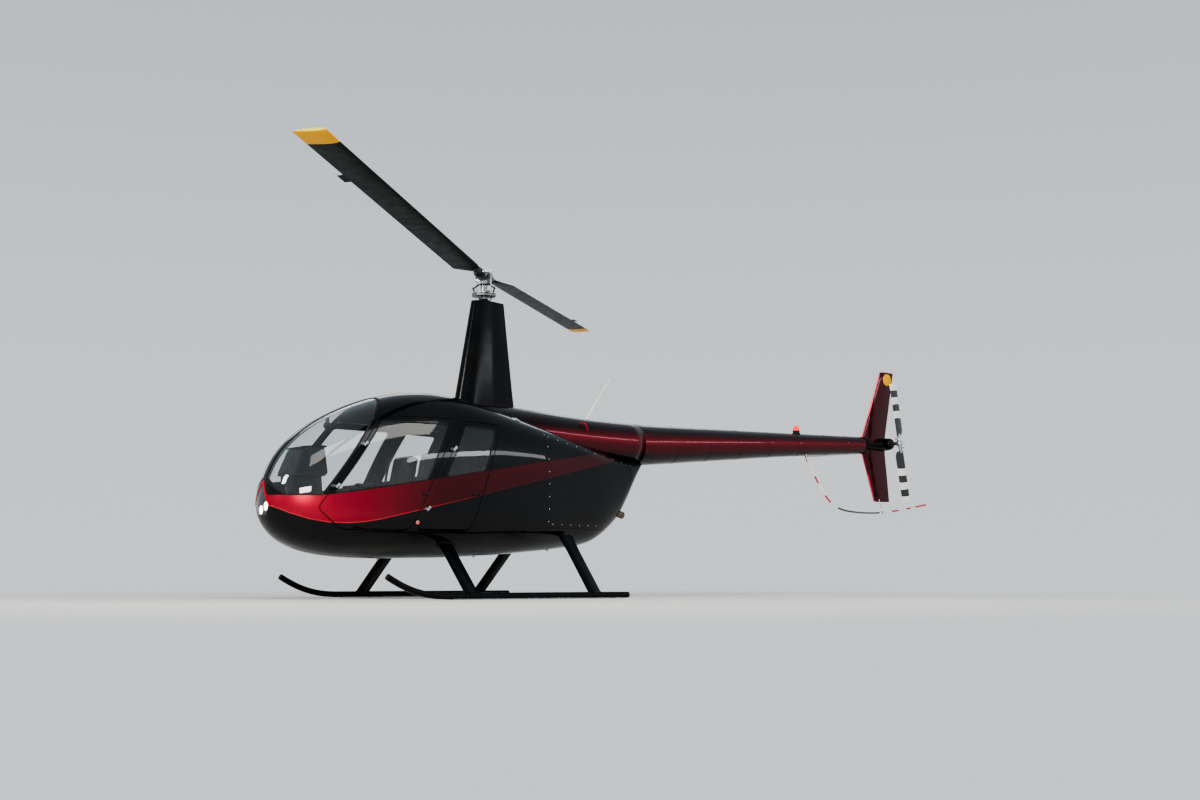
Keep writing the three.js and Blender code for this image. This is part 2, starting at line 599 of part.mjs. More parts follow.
// Tail boom with its beacon and whip aerial
const boomSpace = roundLoft(BOOM, -BOOM_WALL).translate([BOOM_END_WALL, 0, 0]);
add('tail_boom', roundLoft(BOOM).subtract(boomSpace), PAINT_MAROON);
const boomClear = roundLoft(BOOM, SEAM);
const BEACON = { x: -4415, foot: 1850, seat: 1925, top: 1985, stand: 40, dome: 36, crest: 20 };
const beacon = bar([BEACON.x, 0, BEACON.foot], [BEACON.x, 0, BEACON.seat], BEACON.stand)
  .add(bar([BEACON.x, 0, BEACON.seat], [BEACON.x, 0, BEACON.top], BEACON.dome, BEACON.crest));
add('beacon', beacon.subtract(boomClear), RED_LENS);
const AERIAL = {
  foot: [-1290, 0, 1790], collar: [-1330, 0, 1905], root: [-1330, 0, 1900], tip: [-1630, 0, 2330],
};
const aerial = bar(AERIAL.foot, AERIAL.collar, 16, 12, 10).add(bar(AERIAL.root, AERIAL.tip, 7, 4, 8));
add('whip_aerial', aerial.subtract(crownClear), WHITE_PAINT);

// Fins on the end of the boom, the stabiliser on the right, and the tail guard
const FIN_ROOT_X = BOOM_END - SEAM;
const FIN_JOINT_Z = 1802;
const UPPER_FIN = [
  { z: FIN_JOINT_Z + SEAM, nose: FIN_ROOT_X, tail: -5930, thick: 46 },
  { z: 1905, nose: FIN_ROOT_X, tail: -5932, thick: 46 },
  { z: 2735, nose: -5862, tail: -6100, thick: 26 },
];
const LOWER_FIN = [
  { z: FIN_JOINT_Z, nose: FIN_ROOT_X, tail: -5930, thick: 46 },
  { z: 1700, nose: FIN_ROOT_X, tail: -5928, thick: 46 },
  { z: 1120, nose: -5712, tail: -5992, thick: 24 },
];
function fin(rows) {
  return wing(rows.map(({ z, nose, tail, thick }) => (
    { nose: [nose, 0, z], chord: nose - tail, thick, along: [-1, 0, 0], across: [0, 1, 0] })));
}
add('upper_fin', fin(UPPER_FIN), PAINT_MAROON);
const lowerFin = fin(LOWER_FIN);
const STABILISER = [
  { y: -18, nose: -5545, tail: -5868, z: 1735, thick: 38 },
  { y: -1150, nose: -5650, tail: -5925, z: 1748, thick: 26 },
];
const stabiliser = wing(STABILISER.map(({ y, nose, tail, z, thick }) => (
  { nose: [nose, y, z], chord: nose - tail, thick, along: [-1, 0, 0], across: [0, 0, 1] })));
const finSpace = fin(LOWER_FIN.map((row) => ({ ...row, thick: row.thick + 1 })));
add('stabiliser', stabiliser.subtract(finSpace), PAINT_MAROON);
const GUARD_RADIUS = 11;
const GUARD_PATH = [
  [-4500, 70, 1640], [-4560, 120, 1440], [-4640, 185, 1230], [-4740, 235, 1075], [-4900, 250, 1000],
  [-5160, 215, 975], [-5500, 120, 975], [-5800, 50, 990], [-6150, 50, 1030], [-6590, 60, 1105],
];
add('tail_guard', tube(GUARD_PATH, GUARD_RADIUS, 30, 6).subtract(boomClear), WHITE_PAINT);
const guardSpace = tube(GUARD_PATH, GUARD_RADIUS + SEAM, 30, 6);
const GUARD_STAY = { top: [-5800, 8, 1150], foot: [-5800, 50, 990], radius: 9 };
const guardBracket = bar(GUARD_STAY.top, GUARD_STAY.foot, GUARD_STAY.radius, GUARD_STAY.radius, 8);
add('lower_fin', lowerFin.add(guardBracket).subtract(guardSpace), PAINT_MAROON);

// Tail gearbox on the left of the fins, with its output shaft
const [TAIL_X, TAIL_Y, TAIL_Z] = TAIL_ROTOR_HUB;
const GEARBOX = { inner: 24, outer: 150, radius: 78, outerRadius: 60, shaft: 24 };
const INPUT_NECK = { y: 66, radius: 44, frontRadius: 38, lap: 20 };
const TAIL_HUB_INNER = TAIL_Y - 41;
const gearbox = joined([
  bar(
    [TAIL_X, GEARBOX.inner, TAIL_Z], [TAIL_X, GEARBOX.outer, TAIL_Z],
    GEARBOX.radius, GEARBOX.outerRadius, 20,
  ),
  bar([TAIL_X, GEARBOX.outer, TAIL_Z], [TAIL_X, TAIL_HUB_INNER - SEAM, TAIL_Z], GEARBOX.shaft),
  bar(
    [TAIL_X + INPUT_NECK.lap, INPUT_NECK.y, FIN_JOINT_Z], [FIN_ROOT_X, INPUT_NECK.y, FIN_JOINT_Z],
    INPUT_NECK.radius, INPUT_NECK.frontRadius, 16,
  ),
]);
add('tail_gearbox', gearbox, BARE_METAL);

// Skids with raised toes and flat wear shoes, and the struts that carry the body
const SKID_RADIUS = 30;
const SKID_LIFT = 34;
const SKID_REAR = -1040;
const TOE_START = 1060;
const TOE_BEND = [[1330, SKID_LIFT], [1500, 95], [1700, 212]];
const SHOE = { low: [-960, SKID_TRACK - 16, 0], high: [1020, SKID_TRACK + 16, 12] };
function skidTube(grow) {
  const at = (x, z) => new THREE.Vector3(x, SKID_TRACK, z);
  const path = new THREE.CurvePath();
  path.add(new THREE.LineCurve3(at(SKID_REAR, SKID_LIFT), at(TOE_START, SKID_LIFT)));
  path.add(new THREE.CubicBezierCurve3(at(TOE_START, SKID_LIFT), ...TOE_BEND.map((p) => at(...p))));
  return tubeAlong(path, SKID_RADIUS + grow, 24, 12);
}
addPair('skid', skidTube(0).add(box(SHOE.low, SHOE.high)), PAINT_BLACK);
const skidClear = skidTube(SEAM);
const STRUT_LEAD = 0.4;
const STRUTS = [
  { name: 'front_strut', foot: [800, SKID_TRACK, SKID_LIFT], top: [745, 440, 560], chord: 150, thick: 52 },
  { name: 'rear_strut', foot: [-630, SKID_TRACK, SKID_LIFT], top: [-712, 440, 620], chord: 150, thick: 52 },
];
for (const { name, foot, top, chord, thick } of STRUTS) {
  const way = new THREE.Vector3(...top).sub(new THREE.Vector3(...foot)).normalize();
  const along = [-1, 0, 0];
  const across = new THREE.Vector3(...along).cross(way).normalize().toArray();
  const strut = wing([foot, top].map((place) => (
    { nose: [place[0] + chord * STRUT_LEAD, place[1], place[2]], chord, thick, along, across })));
  const clear = strut.subtract(outerClear).subtract(skidClear);
  const pieces = clear.decompose().sort((a, b) => b.volume() - a.volume());
  addPair(name, pieces[0], PAINT_BLACK);
}

// Position lights on the posts between the doors
const SIDE_LIGHT = { x: 1122, z: 718, sunk: 20, proud: 16, radius: 17, crest: 12 };
const lightSkin = skinHalf(SIDE_LIGHT.x, SIDE_LIGHT.z);
const light = bar(
  [SIDE_LIGHT.x, lightSkin - SIDE_LIGHT.sunk, SIDE_LIGHT.z],
  [SIDE_LIGHT.x, lightSkin + SIDE_LIGHT.proud, SIDE_LIGHT.z],
  SIDE_LIGHT.radius, SIDE_LIGHT.crest, 14,
);
addPair('position_light', light.subtract(outerClear), RED_LENS, GREEN_LENS);

// Main rotor, set at the angle of the photograph, its blades raised by the hub's cone
const ROTOR_TURN = 42.7;
const CONE = 2;
const BLADE_ROWS = [
  { r: 330, lead: 45, chord: 120, thick: 44, pitch: 9 },
  { r: 520, lead: 62, chord: 250, thick: 34, pitch: 8.5 },
  { r: 2700, lead: 64, chord: 256, thick: 30, pitch: 5 },
  { r: ROTOR_RADIUS, lead: 66, chord: 262, thick: 26, pitch: 1.5 },
];
const TRIM_TAB = { from: 3672, to: 3873, front: -182, rear: -245, thick: 3.6, pitch: 3.5 };
function blade(rows) {
  return wing(rows.map(({ r, lead, chord, thick, pitch }) => {
    const angle = THREE.MathUtils.degToRad(pitch);
    const along = [0, -Math.cos(angle), -Math.sin(angle)];
    const across = [0, -Math.sin(angle), Math.cos(angle)];
    return { nose: [r, lead * Math.cos(angle), lead * Math.sin(angle)], chord, thick, along, across };
  }));
}
function onRotor(body, half) {
  return body.rotate([0, -CONE, 0]).rotate([0, 0, ROTOR_TURN + 180 * half]).translate([0, 0, ROTOR_HEIGHT]);
}
const GRIP = { from: 190, to: 420, radius: 46, endRadius: 30 };
const HORN = { from: 210, to: 250, low: -12, high: 12, root: -20, tip: 150 };
const YOKE = { half: 200, width: 52, thick: 38 };
const TEETER_BOLT = { half: 85, radius: 30 };
const grip = bar([GRIP.from, 0, 0], [GRIP.to, 0, 0], GRIP.radius, GRIP.endRadius, 16)
  .add(box([HORN.from, HORN.root, HORN.low], [HORN.to, HORN.tip, HORN.high]));
const gripClear = bar(
  [GRIP.from, 0, 0], [GRIP.to + SEAM, 0, 0], GRIP.radius + SEAM, GRIP.endRadius + SEAM, 16,
);
const hubCore = box([-YOKE.half, -YOKE.width, -YOKE.thick], [YOKE.half, YOKE.width, YOKE.thick])
  .add(bar([0, -TEETER_BOLT.half, 0], [0, TEETER_BOLT.half, 0], TEETER_BOLT.radius, TEETER_BOLT.radius, 16))
  .rotate([0, 0, ROTOR_TURN]).translate([0, 0, ROTOR_HEIGHT])
  .add(bar([0, 0, MAST_TOP + SEAM], [0, 0, ROTOR_HEIGHT], MAST_RADIUS, MAST_RADIUS, 20));

// The turning ring on the tilting ring, with an arm and a link up to each grip's horn
const TURNING_RING = { low: TILT_RING.high + 5, high: 3112, radius: 125, topRadius: 118, bore: 44 };
const RING_ARM = { root: [70, 50, 3102], radius: 10 };
const LINK = { foot: [190, 118, 3102], top: [231, 132, 8], radius: 10 };
const turningRing = bar(
  [0, 0, TURNING_RING.low], [0, 0, TURNING_RING.high], TURNING_RING.radius, TURNING_RING.topRadius, 24,
).subtract(bar([0, 0, TURNING_RING.low - 1], [0, 0, TURNING_RING.high + 1], TURNING_RING.bore));
const linkTop = new THREE.Vector3(...LINK.top)
  .applyAxisAngle(new THREE.Vector3(0, -1, 0), THREE.MathUtils.degToRad(CONE))
  .add(new THREE.Vector3(0, 0, ROTOR_HEIGHT));
const armAndLink = bar(RING_ARM.root, LINK.foot, RING_ARM.radius, RING_ARM.radius, 8)
  .add(bar(LINK.foot, linkTop.toArray(), LINK.radius, LINK.radius, 8))
  .rotate([0, 0, ROTOR_TURN]);
add('rotor_hub', joined([
  hubCore, onRotor(grip, 0), onRotor(grip, 1), turningRing, armAndLink, armAndLink.rotate([0, 0, 180]),
]), SATIN_BLACK);
const trimTab = box(
  [TRIM_TAB.from, TRIM_TAB.rear, -TRIM_TAB.thick / 2],
  [TRIM_TAB.to, TRIM_TAB.front, TRIM_TAB.thick / 2],
).rotate([TRIM_TAB.pitch, 0, 0]);
const wholeBlade = blade(BLADE_ROWS).subtract(gripClear).add(trimTab);
for (const half of [0, 1]) add(`main_blade_${half + 1}`, onRotor(wholeBlade, half), SATIN_BLACK);

// Tail rotor at the angle of the photograph
const TAIL_TURN = 79.7;
const TAIL_BLADE_ROWS = [
  { r: 95, lead: 32, chord: 96, thick: 24, pitch: 8 },
  { r: 160, lead: 36, chord: 130, thick: 18, pitch: 8 },
  { r: TAIL_ROTOR_RADIUS, lead: 36, chord: 130, thick: 14, pitch: 3 },
];
function onTail(body, half) {
  return body.rotate([-90, 0, 0]).rotate([0, -TAIL_TURN - 180 * half, 0]).translate(TAIL_ROTOR_HUB);
}
const TAIL_HUB = { outer: TAIL_Y + 34, radius: 34, outerRadius: 30 };
const TAIL_GRIP = { reach: 120, radius: 24, endRadius: 18 };
function tailGrip(grow) {
  const { reach, radius, endRadius } = TAIL_GRIP;
  return bar([0, 0, 0], [reach + grow, 0, 0], radius + grow, endRadius + grow, 12);
}
const tailHub = joined([
  bar(
    [TAIL_X, TAIL_HUB_INNER, TAIL_Z], [TAIL_X, TAIL_HUB.outer, TAIL_Z],
    TAIL_HUB.radius, TAIL_HUB.outerRadius, 18,
  ),
  onTail(tailGrip(0), 0),
  onTail(tailGrip(0), 1),
]);
add('tail_rotor_hub', tailHub, BARE_METAL);
const tailBlade = blade(TAIL_BLADE_ROWS).subtract(tailGrip(SEAM));
for (const half of [0, 1]) add(`tail_blade_${half + 1}`, onTail(tailBlade, half), WHITE_PAINT);

const group = new THREE.Group();
group.add(machine);

export default group;
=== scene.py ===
"""Finish of a light four-seat helicopter on skids, built piece by piece around its packed frame.

Places are in metres, measured from the rotor mast on the floor: +X forward, +Y left, +Z up.
A finished piece is moved by MAST_X, the mast's place in the frame, when it is made.
"""
import math
from functools import partial

import bmesh
import bpy
import numpy as np
from bpy.props import FloatProperty, FloatVectorProperty, PointerProperty
from mathutils import Matrix, Vector
from mathutils.bvhtree import BVHTree
from mathutils.interpolate import poly_3d_calc


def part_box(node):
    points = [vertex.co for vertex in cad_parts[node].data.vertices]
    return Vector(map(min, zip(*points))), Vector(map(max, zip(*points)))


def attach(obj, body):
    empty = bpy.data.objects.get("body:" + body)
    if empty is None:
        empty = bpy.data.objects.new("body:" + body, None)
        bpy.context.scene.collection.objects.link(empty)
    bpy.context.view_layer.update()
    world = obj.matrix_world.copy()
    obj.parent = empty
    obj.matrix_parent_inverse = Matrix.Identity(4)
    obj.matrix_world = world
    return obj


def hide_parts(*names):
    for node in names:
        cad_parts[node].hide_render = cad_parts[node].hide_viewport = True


bl_info = {
    "name": "Light Helicopter Finish",
    "version": (1, 0, 0),
    "blender": (4, 5, 0),
    "location": "View3D > Sidebar > Helicopter",
    "description": "Skins, glazing, cabin, rotors and paint of a light helicopter",
    "category": "Object",
}

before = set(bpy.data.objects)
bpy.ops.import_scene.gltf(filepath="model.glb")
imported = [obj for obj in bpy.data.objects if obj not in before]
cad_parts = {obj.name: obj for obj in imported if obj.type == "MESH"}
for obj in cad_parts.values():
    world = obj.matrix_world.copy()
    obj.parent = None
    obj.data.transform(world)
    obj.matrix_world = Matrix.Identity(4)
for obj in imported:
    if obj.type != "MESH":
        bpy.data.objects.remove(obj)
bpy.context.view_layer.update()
mast_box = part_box("mast")
MAST_X = (mast_box[0].x + mast_box[1].x) / 2
TO_FRAME = Matrix.Translation((MAST_X, 0, 0))


def linear(code):
    """Linear RGBA of an sRGB hex colour."""
    shares = [int(code[i:i + 2], 16) / 255 for i in (0, 2, 4)]
    return (*[s / 12.92 if s <= 0.04045 else ((s + 0.055) / 1.055) ** 2.4 for s in shares], 1.0)


# Body sections from tail to nose: place, half width, heights of the bottom, the widest line
# and the top, and the squareness below and above that line
FUSELAGE = [
    (-1.95, 0.15, 1.37, 1.412, 1.455, 2.0, 2.2), (-1.78, 0.225, 1.08, 1.29, 1.462, 2.2, 2.6),
    (-1.69, 0.252, 0.915, 1.24, 1.472, 2.3, 3.0), (-1.56, 0.288, 0.75, 1.18, 1.486, 2.4, 3.4),
    (-1.25, 0.368, 0.562, 1.08, 1.552, 2.6, 4.0), (-0.8, 0.465, 0.492, 1.0, 1.672, 2.8, 4.0),
    (-0.42, 0.545, 0.456, 0.96, 1.76, 2.9, 4.0), (-0.1, 0.592, 0.43, 0.945, 1.84, 2.9, 3.8),
    (0.2, 0.622, 0.412, 0.94, 1.92, 2.8, 3.5), (0.45, 0.636, 0.4, 0.94, 1.982, 2.8, 3.2),
    (0.75, 0.64, 0.392, 0.94, 2.012, 2.7, 3.0), (1.05, 0.636, 0.388, 0.938, 1.992, 2.7, 2.9),
    (1.3, 0.622, 0.386, 0.935, 1.94, 2.6, 2.8), (1.52, 0.596, 0.39, 0.932, 1.868, 2.5, 2.7),
    (1.74, 0.553, 0.405, 0.928, 1.77, 2.5, 2.6), (1.93, 0.496, 0.434, 0.924, 1.665, 2.4, 2.5),
    (2.09, 0.43, 0.48, 0.92, 1.552, 2.4, 2.4), (2.22, 0.357, 0.538, 0.916, 1.432, 2.3, 2.3),
    (2.32, 0.28, 0.612, 0.912, 1.3, 2.2, 2.2), (2.392, 0.195, 0.7, 0.908, 1.15, 2.2, 2.1),
    (2.43, 0.112, 0.79, 0.904, 1.022, 2.1, 2.0), (2.444, 0.035, 0.868, 0.902, 0.936, 2.0, 2.0),
]
NOSE_START, NOSE_LENGTH = 1.5, 0.944
CABIN_REAR, BULKHEAD, WALL = -0.42, 0.04, 0.035
LOWER_CABIN = ["nose_shell", "belly_pan", "rear_bulkhead"]
LOWER_CABIN += [f"{name}_{side}" for name in ("rear_quarter", "mid_side", "front_sill")
    for side in ("left", "right")]
# Round bodies: place, height of the centre, radius
CROWN = [(-1.952, 1.64, 0.222), (-1.2, 1.655, 0.232), (-0.3, 1.7, 0.25), (0.25, 1.735, 0.235),
    (0.42, 1.77, 0.18)]
BOOM = [(-5.52, 1.802, 0.104), (-4.1, 1.74, 0.143), (-2.17, 1.644, 0.217), (-1.9524, 1.64, 0.222)]
# Openings seen from the side, as place and height
FRONT_DOOR = [(2.085, 0.836), (1.452, 1.728), (0.672, 1.728), (1.19, 0.64), (1.862, 0.64)]
REAR_DOOR = [(1.13, 0.64), (0.596, 1.718), (0.15, 1.7), (0.53, 0.64)]
FRONT_WINDOW = [(1.95, 0.968), (1.447, 1.676), (0.76, 1.676), (1.02, 1.12)]
REAR_WINDOW = [(0.83, 1.15), (0.573, 1.668), (0.214, 1.655), (0.366, 1.232)]
SCREEN_SIDE = [(2.6, 0.9), (2.6, 2.1), (1.18, 2.1), (1.482, 1.735), (2.062, 0.918), (2.15, 0.9)]
SCREEN_SILL = [(0.02, 1.118), (0.285, 0.952), (0.7, 0.952), (0.7, 2.1), (0.02, 2.1)]
LAMP_OPENING = [(0, 1.072), (-0.135, 0.872), (-0.095, 0.775), (0.095, 0.775), (0.135, 0.872)]
BELT, NOSE_BELT = 0.936, (2.15, 1.126)
DOOR_GAP, DOOR_CORNER, WINDOW_CORNER = 0.008, 0.06, 0.045
# A hinge line: its foot as place and height, its lean and how far out it lies
FRONT_HINGES = {"foot": (2.085, 0.836), "slope": -0.7096, "out": 0.562, "heights": (1.04, 1.44)}
REAR_HINGES = {"foot": (1.13, 0.64), "slope": -0.4954, "out": 0.655, "heights": (0.85, 1.43)}
ROTOR_HEIGHT, ROTOR_RADIUS, ROTOR_TURN, CONE = 3.28, 5.03, 42.7, 2.0
TAIL_HUB, TAIL_RADIUS, TAIL_TURN = (-5.893, 0.28, 1.83), 0.737, 79.7
SKID_Y, SKID_RADIUS, SKID_LIFT = 1.06, 0.03, 0.034
# Seats stand this far to each side of the middle
SEAT_Y = 0.262
# Parts that meet a skin stop this far outside it
SKIN_GAP = 0.0008
# Edges blunter than this many degrees are shaded smooth on streamlined forms
WING_ANGLE = 65

# Every finish by the name that the pieces use, filled once
materials = {}


# Plain geometry: a shape is its points, an array of rows, and its faces, lists of point numbers
def shape_of(points, faces):
    """A closed shape whose faces point outwards."""
    points = np.array(points, float).reshape(-1, 3)
    volume = 0.0
    for face in faces:
        a = points[face[0]]
        for i in range(1, len(face) - 1):
            volume += a @ np.cross(points[face[i]], points[face[i + 1]])
    return points, [list(f) if volume > 0 else list(f)[::-1] for f in faces]


def join(*shapes):
    """Several shapes as one."""
    points, faces, base = [], [], 0
    for corners, sides in shapes:
        points.append(corners)
        faces += [[i + base for i in side] for side in sides]
        base += len(corners)
    return np.vstack(points), faces


def slide(place):
    """A shift to a place."""
    return Matrix.Translation(place)


def rotate(axis, degrees):
    """A turn about one axis."""
    return Matrix.Rotation(math.radians(degrees), 4, axis)


def pointing(way, up="Y"):
    """A turn that brings +Z onto a way."""
    return Vector(way).to_track_quat("Z", up).to_matrix().to_4x4()


def moved(shape, matrix):
    """The shape turned and shifted by a matrix."""
    m = np.array(matrix)
    return shape[0] @ m[:3, :3].T + m[:3, 3], shape[1]


def mirrored(shape):
    """The shape's twin on the other side of the machine."""
    return shape[0] * (1, -1, 1), [side[::-1] for side in shape[1]]


def loft(rings, tips=(None, None)):
    """A skin through rings of equal count, each end closed round a tip or the ring's middle."""
    rings = [np.array(ring, float) for ring in rings]
    count = len(rings[0])
    points = np.vstack(rings)
    faces = [[k * count + i, k * count + (i + 1) % count, (k + 1) * count + (i + 1) % count,
        (k + 1) * count + i] for k in range(len(rings) - 1) for i in range(count)]
    for end, (ring, tip) in enumerate(zip((rings[0], rings[-1]), tips)):
        middle = ring.mean(0) if tip is None else np.array(tip)
        base = end * (len(rings) - 1) * count
        points = np.vstack([points, middle])
        last = len(points) - 1
        for i in range(count):
            pair = [base + i, base + (i + 1) % count]
            faces.append([last, *(pair if end else pair[::-1])])
    return shape_of(points, faces)


def lathe(profile, place=(0, 0, 0), way=(0, 0, 1), count=28):
    """A turned part: its profile is radius and distance along the axis, from place along way."""
    angle = np.arange(count) * 2 * math.pi / count
    rings = [np.column_stack([r * np.cos(angle), r * np.sin(angle), np.full(count, h)])
        for r, h in profile if r > 0]
    ends = [(0, 0, h) if r == 0 else None for r, h in (profile[0], profile[-1])]
    return moved(loft(rings, ends), slide(place) @ pointing(Vector(way).normalized()))


def rod(start, end, radius, end_radius=None, count=18, edge=0.0015):
    """A round bar between two points, with its edges broken."""
    way = Vector(end) - Vector(start)
    length, tip = way.length, radius if end_radius is None else end_radius
    profile = [(radius - edge, 0), (radius, edge), (tip, length - edge), (tip - edge, length)]
    return lathe(profile, start, way, count)


def block(low, high, edge=0.004, steps=2):
    """A box with round edges."""
    mesh = bmesh.new()
    bmesh.ops.create_cube(mesh, size=1)
    low, high = Vector(low), Vector(high)
    for v in mesh.verts:
        v.co = Vector([low[i] + (v.co[i] + 0.5) * (high[i] - low[i]) for i in range(3)])
    bmesh.ops.bevel(mesh, geom=mesh.edges[:], offset=edge, segments=steps, affect="EDGES", profile=0.5)
    mesh.verts.index_update()
    shape = shape_of([v.co for v in mesh.verts], [[v.index for v in f.verts] for f in mesh.faces])
    mesh.free()
    return shape


def rounded(points, corner, steps=7):
    """An outline with its corners rounded."""
    out = []
    points = [np.array(p, float) for p in points]
    for i, p in enumerate(points):
        before, after = points[i - 1] - p, points[(i + 1) % len(points)] - p
        cut = min(corner, np.linalg.norm(before) / 3, np.linalg.norm(after) / 3)
        if cut <= 0:
            out.append(p)
            continue
        a = p + before / np.linalg.norm(before) * cut
        b = p + after / np.linalg.norm(after) * cut
        out += [(1 - t) ** 2 * a + 2 * t * (1 - t) * p + t * t * b for t in np.linspace(0, 1, steps)]
    return out


def offset(points, distance):
    """A convex outline with each side moved outward."""
    pairs = [(np.array(a, float), np.array(b, float)) for a, b in zip(points, points[1:] + points[:1])]
    side = np.sign(sum(a[0] * b[1] - b[0] * a[1] for a, b in pairs))
    lines = []
    for a, b in pairs:
        normal = side * np.array([b[1] - a[1], a[0] - b[0]]) / np.linalg.norm(b - a)
        lines.append((normal, normal @ a + distance))
    return [tuple(np.linalg.solve([lines[i - 1][0], lines[i][0]], [lines[i - 1][1], lines[i][1]]))
            for i in range(len(lines))]


def prism(points, low, high, plane="xz", corner=0.0):
    """A straight block with its outline in one plane, between two places across it."""
    outline = rounded(points, corner) if corner else [np.array(p, float) for p in points]
    columns = {"xz": (0, 2, 1), "yz": (1, 2, 0), "xy": (0, 1, 2)}[plane]
    count = len(outline)
    corners = np.zeros((2 * count, 3))
    for level, at in enumerate((low, high)):
        corners[level * count:(level + 1) * count, columns[0]] = [p[0] for p in outline]
        corners[level * count:(level + 1) * count, columns[1]] = [p[1] for p in outline]
        corners[level * count:(level + 1) * count, columns[2]] = at
    faces = [[i, (i + 1) % count, count + (i + 1) % count, count + i] for i in range(count)]
    faces += [list(range(count))[::-1], list(range(count, 2 * count))]
    return shape_of(corners, faces)


def smooth_rows(rows, steps):
    """A smooth run through the rows of a table, with that many steps in each gap."""
    rows = np.array(rows, float)
    padded = np.vstack([2 * rows[0] - rows[1], rows, 2 * rows[-1] - rows[-2]])
    out = []
    for k in range(len(rows) - 1):
        a, b, c, d = padded[k:k + 4]
        for t in np.arange(steps) / steps:
            bend = (2 * a - 5 * b + 4 * c - d) * t * t + (3 * b - a - 3 * c + d) * t ** 3
            out.append(0.5 * (2 * b + (c - a) * t + bend))
    return np.array(out + [rows[-1]])


def read_off(rows, x, column):
    """A table's value in one column at a place."""
    return float(np.interp(x, rows[:, 0], rows[:, column]))


def section(row, grow, count=96):
    """One ring of the body, its points evenly spaced along it."""
    x, half, bottom, widest, top, low, high = row
    turn = np.linspace(-math.pi / 2, 3 * math.pi / 2, 961)
    c, s = np.cos(turn), np.sin(turn)
    power = np.where(s < 0, 2 / low, 2 / high)
    rise = np.where(s < 0, widest - bottom, top - widest) + grow
    y = np.sign(c) * (half + grow) * np.abs(c) ** power
    z = widest + np.sign(s) * rise * np.abs(s) ** power
    length = np.concatenate([[0], np.cumsum(np.hypot(np.diff(y), np.diff(z)))])
    even = np.linspace(0, length[-1], count, endpoint=False)
    lead = min(1.0, max(0.0, (x - NOSE_START) / NOSE_LENGTH))
    return np.column_stack([np.full(count, x + grow * lead), np.interp(even, length, y),
        np.interp(even, length, z)])


def fuselage(grow=0.0, start=-9.0, steps=5):
    """The body as a closed shape, its skin moved by grow, from a place on."""
    rows = smooth_rows(FUSELAGE, steps)
    if start > rows[0][0]:
        k = int(np.searchsorted(rows[:, 0], start))
        share = (start - rows[k - 1][0]) / (rows[k][0] - rows[k - 1][0])
        rows = np.vstack([rows[k - 1] + share * (rows[k] - rows[k - 1]), rows[k:]])
    rings = [section(row, grow) for row in rows if row[1] + grow > 0.008]
    tip = rings[-1].mean(0) + (0.002, 0, 0)
    return loft(rings, (None, tip))


def round_body(rows, grow=0.0, steps=6, count=64):
    """A round body along X through rows of place, centre height and radius."""
    angle = np.arange(count) * 2 * math.pi / count
    rings = []
    for x, centre, radius in smooth_rows(rows, steps):
        reach = radius + grow
        rings.append(np.column_stack([np.full(count, x), reach * np.cos(angle),
            centre + reach * np.sin(angle)]))
    return loft(rings)


def aerofoil(count=18):
    """Half of a streamlined section: shares of the chord and of the thickness."""
    s = (1 - np.cos(np.linspace(0, math.pi, count))) / 2
    half = 0.2969 * np.sqrt(s) - 0.126 * s - 0.3516 * s ** 2 + 0.2843 * s ** 3 - 0.1015 * s ** 4
    return s, np.maximum(half / half.max() / 2, 0.03 * s)


def wing(rows, tip=0.0, root=0.0):
    """A blade, fin or strut through rows of leading edge, chord, thickness and two directions.
    A round tip or root adds that length."""
    s, t = aerofoil()

    def ring(nose, chord, thick, along, across, shrink=1.0):
        nose, along, across = np.array(nose, float), np.array(along, float), np.array(across, float)
        share = (1 - shrink) * 0.35
        upper = [nose + along * chord * (share + a * shrink) + across * thick * shrink * b
            for a, b in zip(s, t)]
        lower = [nose + along * chord * (share + a * shrink) - across * thick * shrink * b
            for a, b in zip(s[1:-1], t[1:-1])]
        return np.array(upper + lower[::-1])

    rings = [ring(*row) for row in rows]
    for end, length in ((0, root), (-1, tip)):
        if not length:
            continue
        other = rings[1] if end == 0 else rings[-2]
        way = rings[end].mean(0) - other.mean(0)
        way = way / np.linalg.norm(way) * length
        caps = [ring(*rows[end], shrink=math.cos(a)) + way * math.sin(a) for a in (0.45, 0.85, 1.15, 1.35)]
        rings = caps[::-1] + rings if end == 0 else rings + caps
    return loft(rings)


def mesh_of(name, points, faces, edges=()):
    """A mesh from points, faces and loose edges."""
    mesh = bpy.data.meshes.new(name)
    mesh.from_pydata(np.array(points, float).tolist(), list(edges), faces)
    return mesh


def linked(name, data):
    """An object in the scene that holds a mesh or another kind of data."""
    item = bpy.data.objects.new(name, data)
    bpy.context.scene.collection.objects.link(item)
    return item


def evaluated(item):
    """The object's mesh as its modifiers leave it."""
    return bpy.data.meshes.new_from_object(item.evaluated_get(bpy.context.evaluated_depsgraph_get()))


def shape_from(mesh):
    """A mesh's points and faces."""
    points = np.zeros(len(mesh.vertices) * 3)
    mesh.vertices.foreach_get("co", points)
    return points.reshape(-1, 3), [list(p.vertices) for p in mesh.polygons]


def carve(operation, shape, *tools):
    """The shape after one boolean operation with each tool in turn."""
    item = linked("scratch", mesh_of("scratch", *shape))
    for tool in tools:
        other = linked("scratch", mesh_of("scratch", *tool))
        modifier = item.modifiers.new("carve", "BOOLEAN")
        modifier.operation, modifier.solver, modifier.object = operation, "MANIFOLD", other
        mesh = evaluated(item)
        item.modifiers.remove(modifier)
        item.data = mesh
        bpy.data.objects.remove(other)
    result = shape_from(item.data)
    bpy.data.objects.remove(item)
    return result


cut, common = partial(carve, "DIFFERENCE"), partial(carve, "INTERSECT")


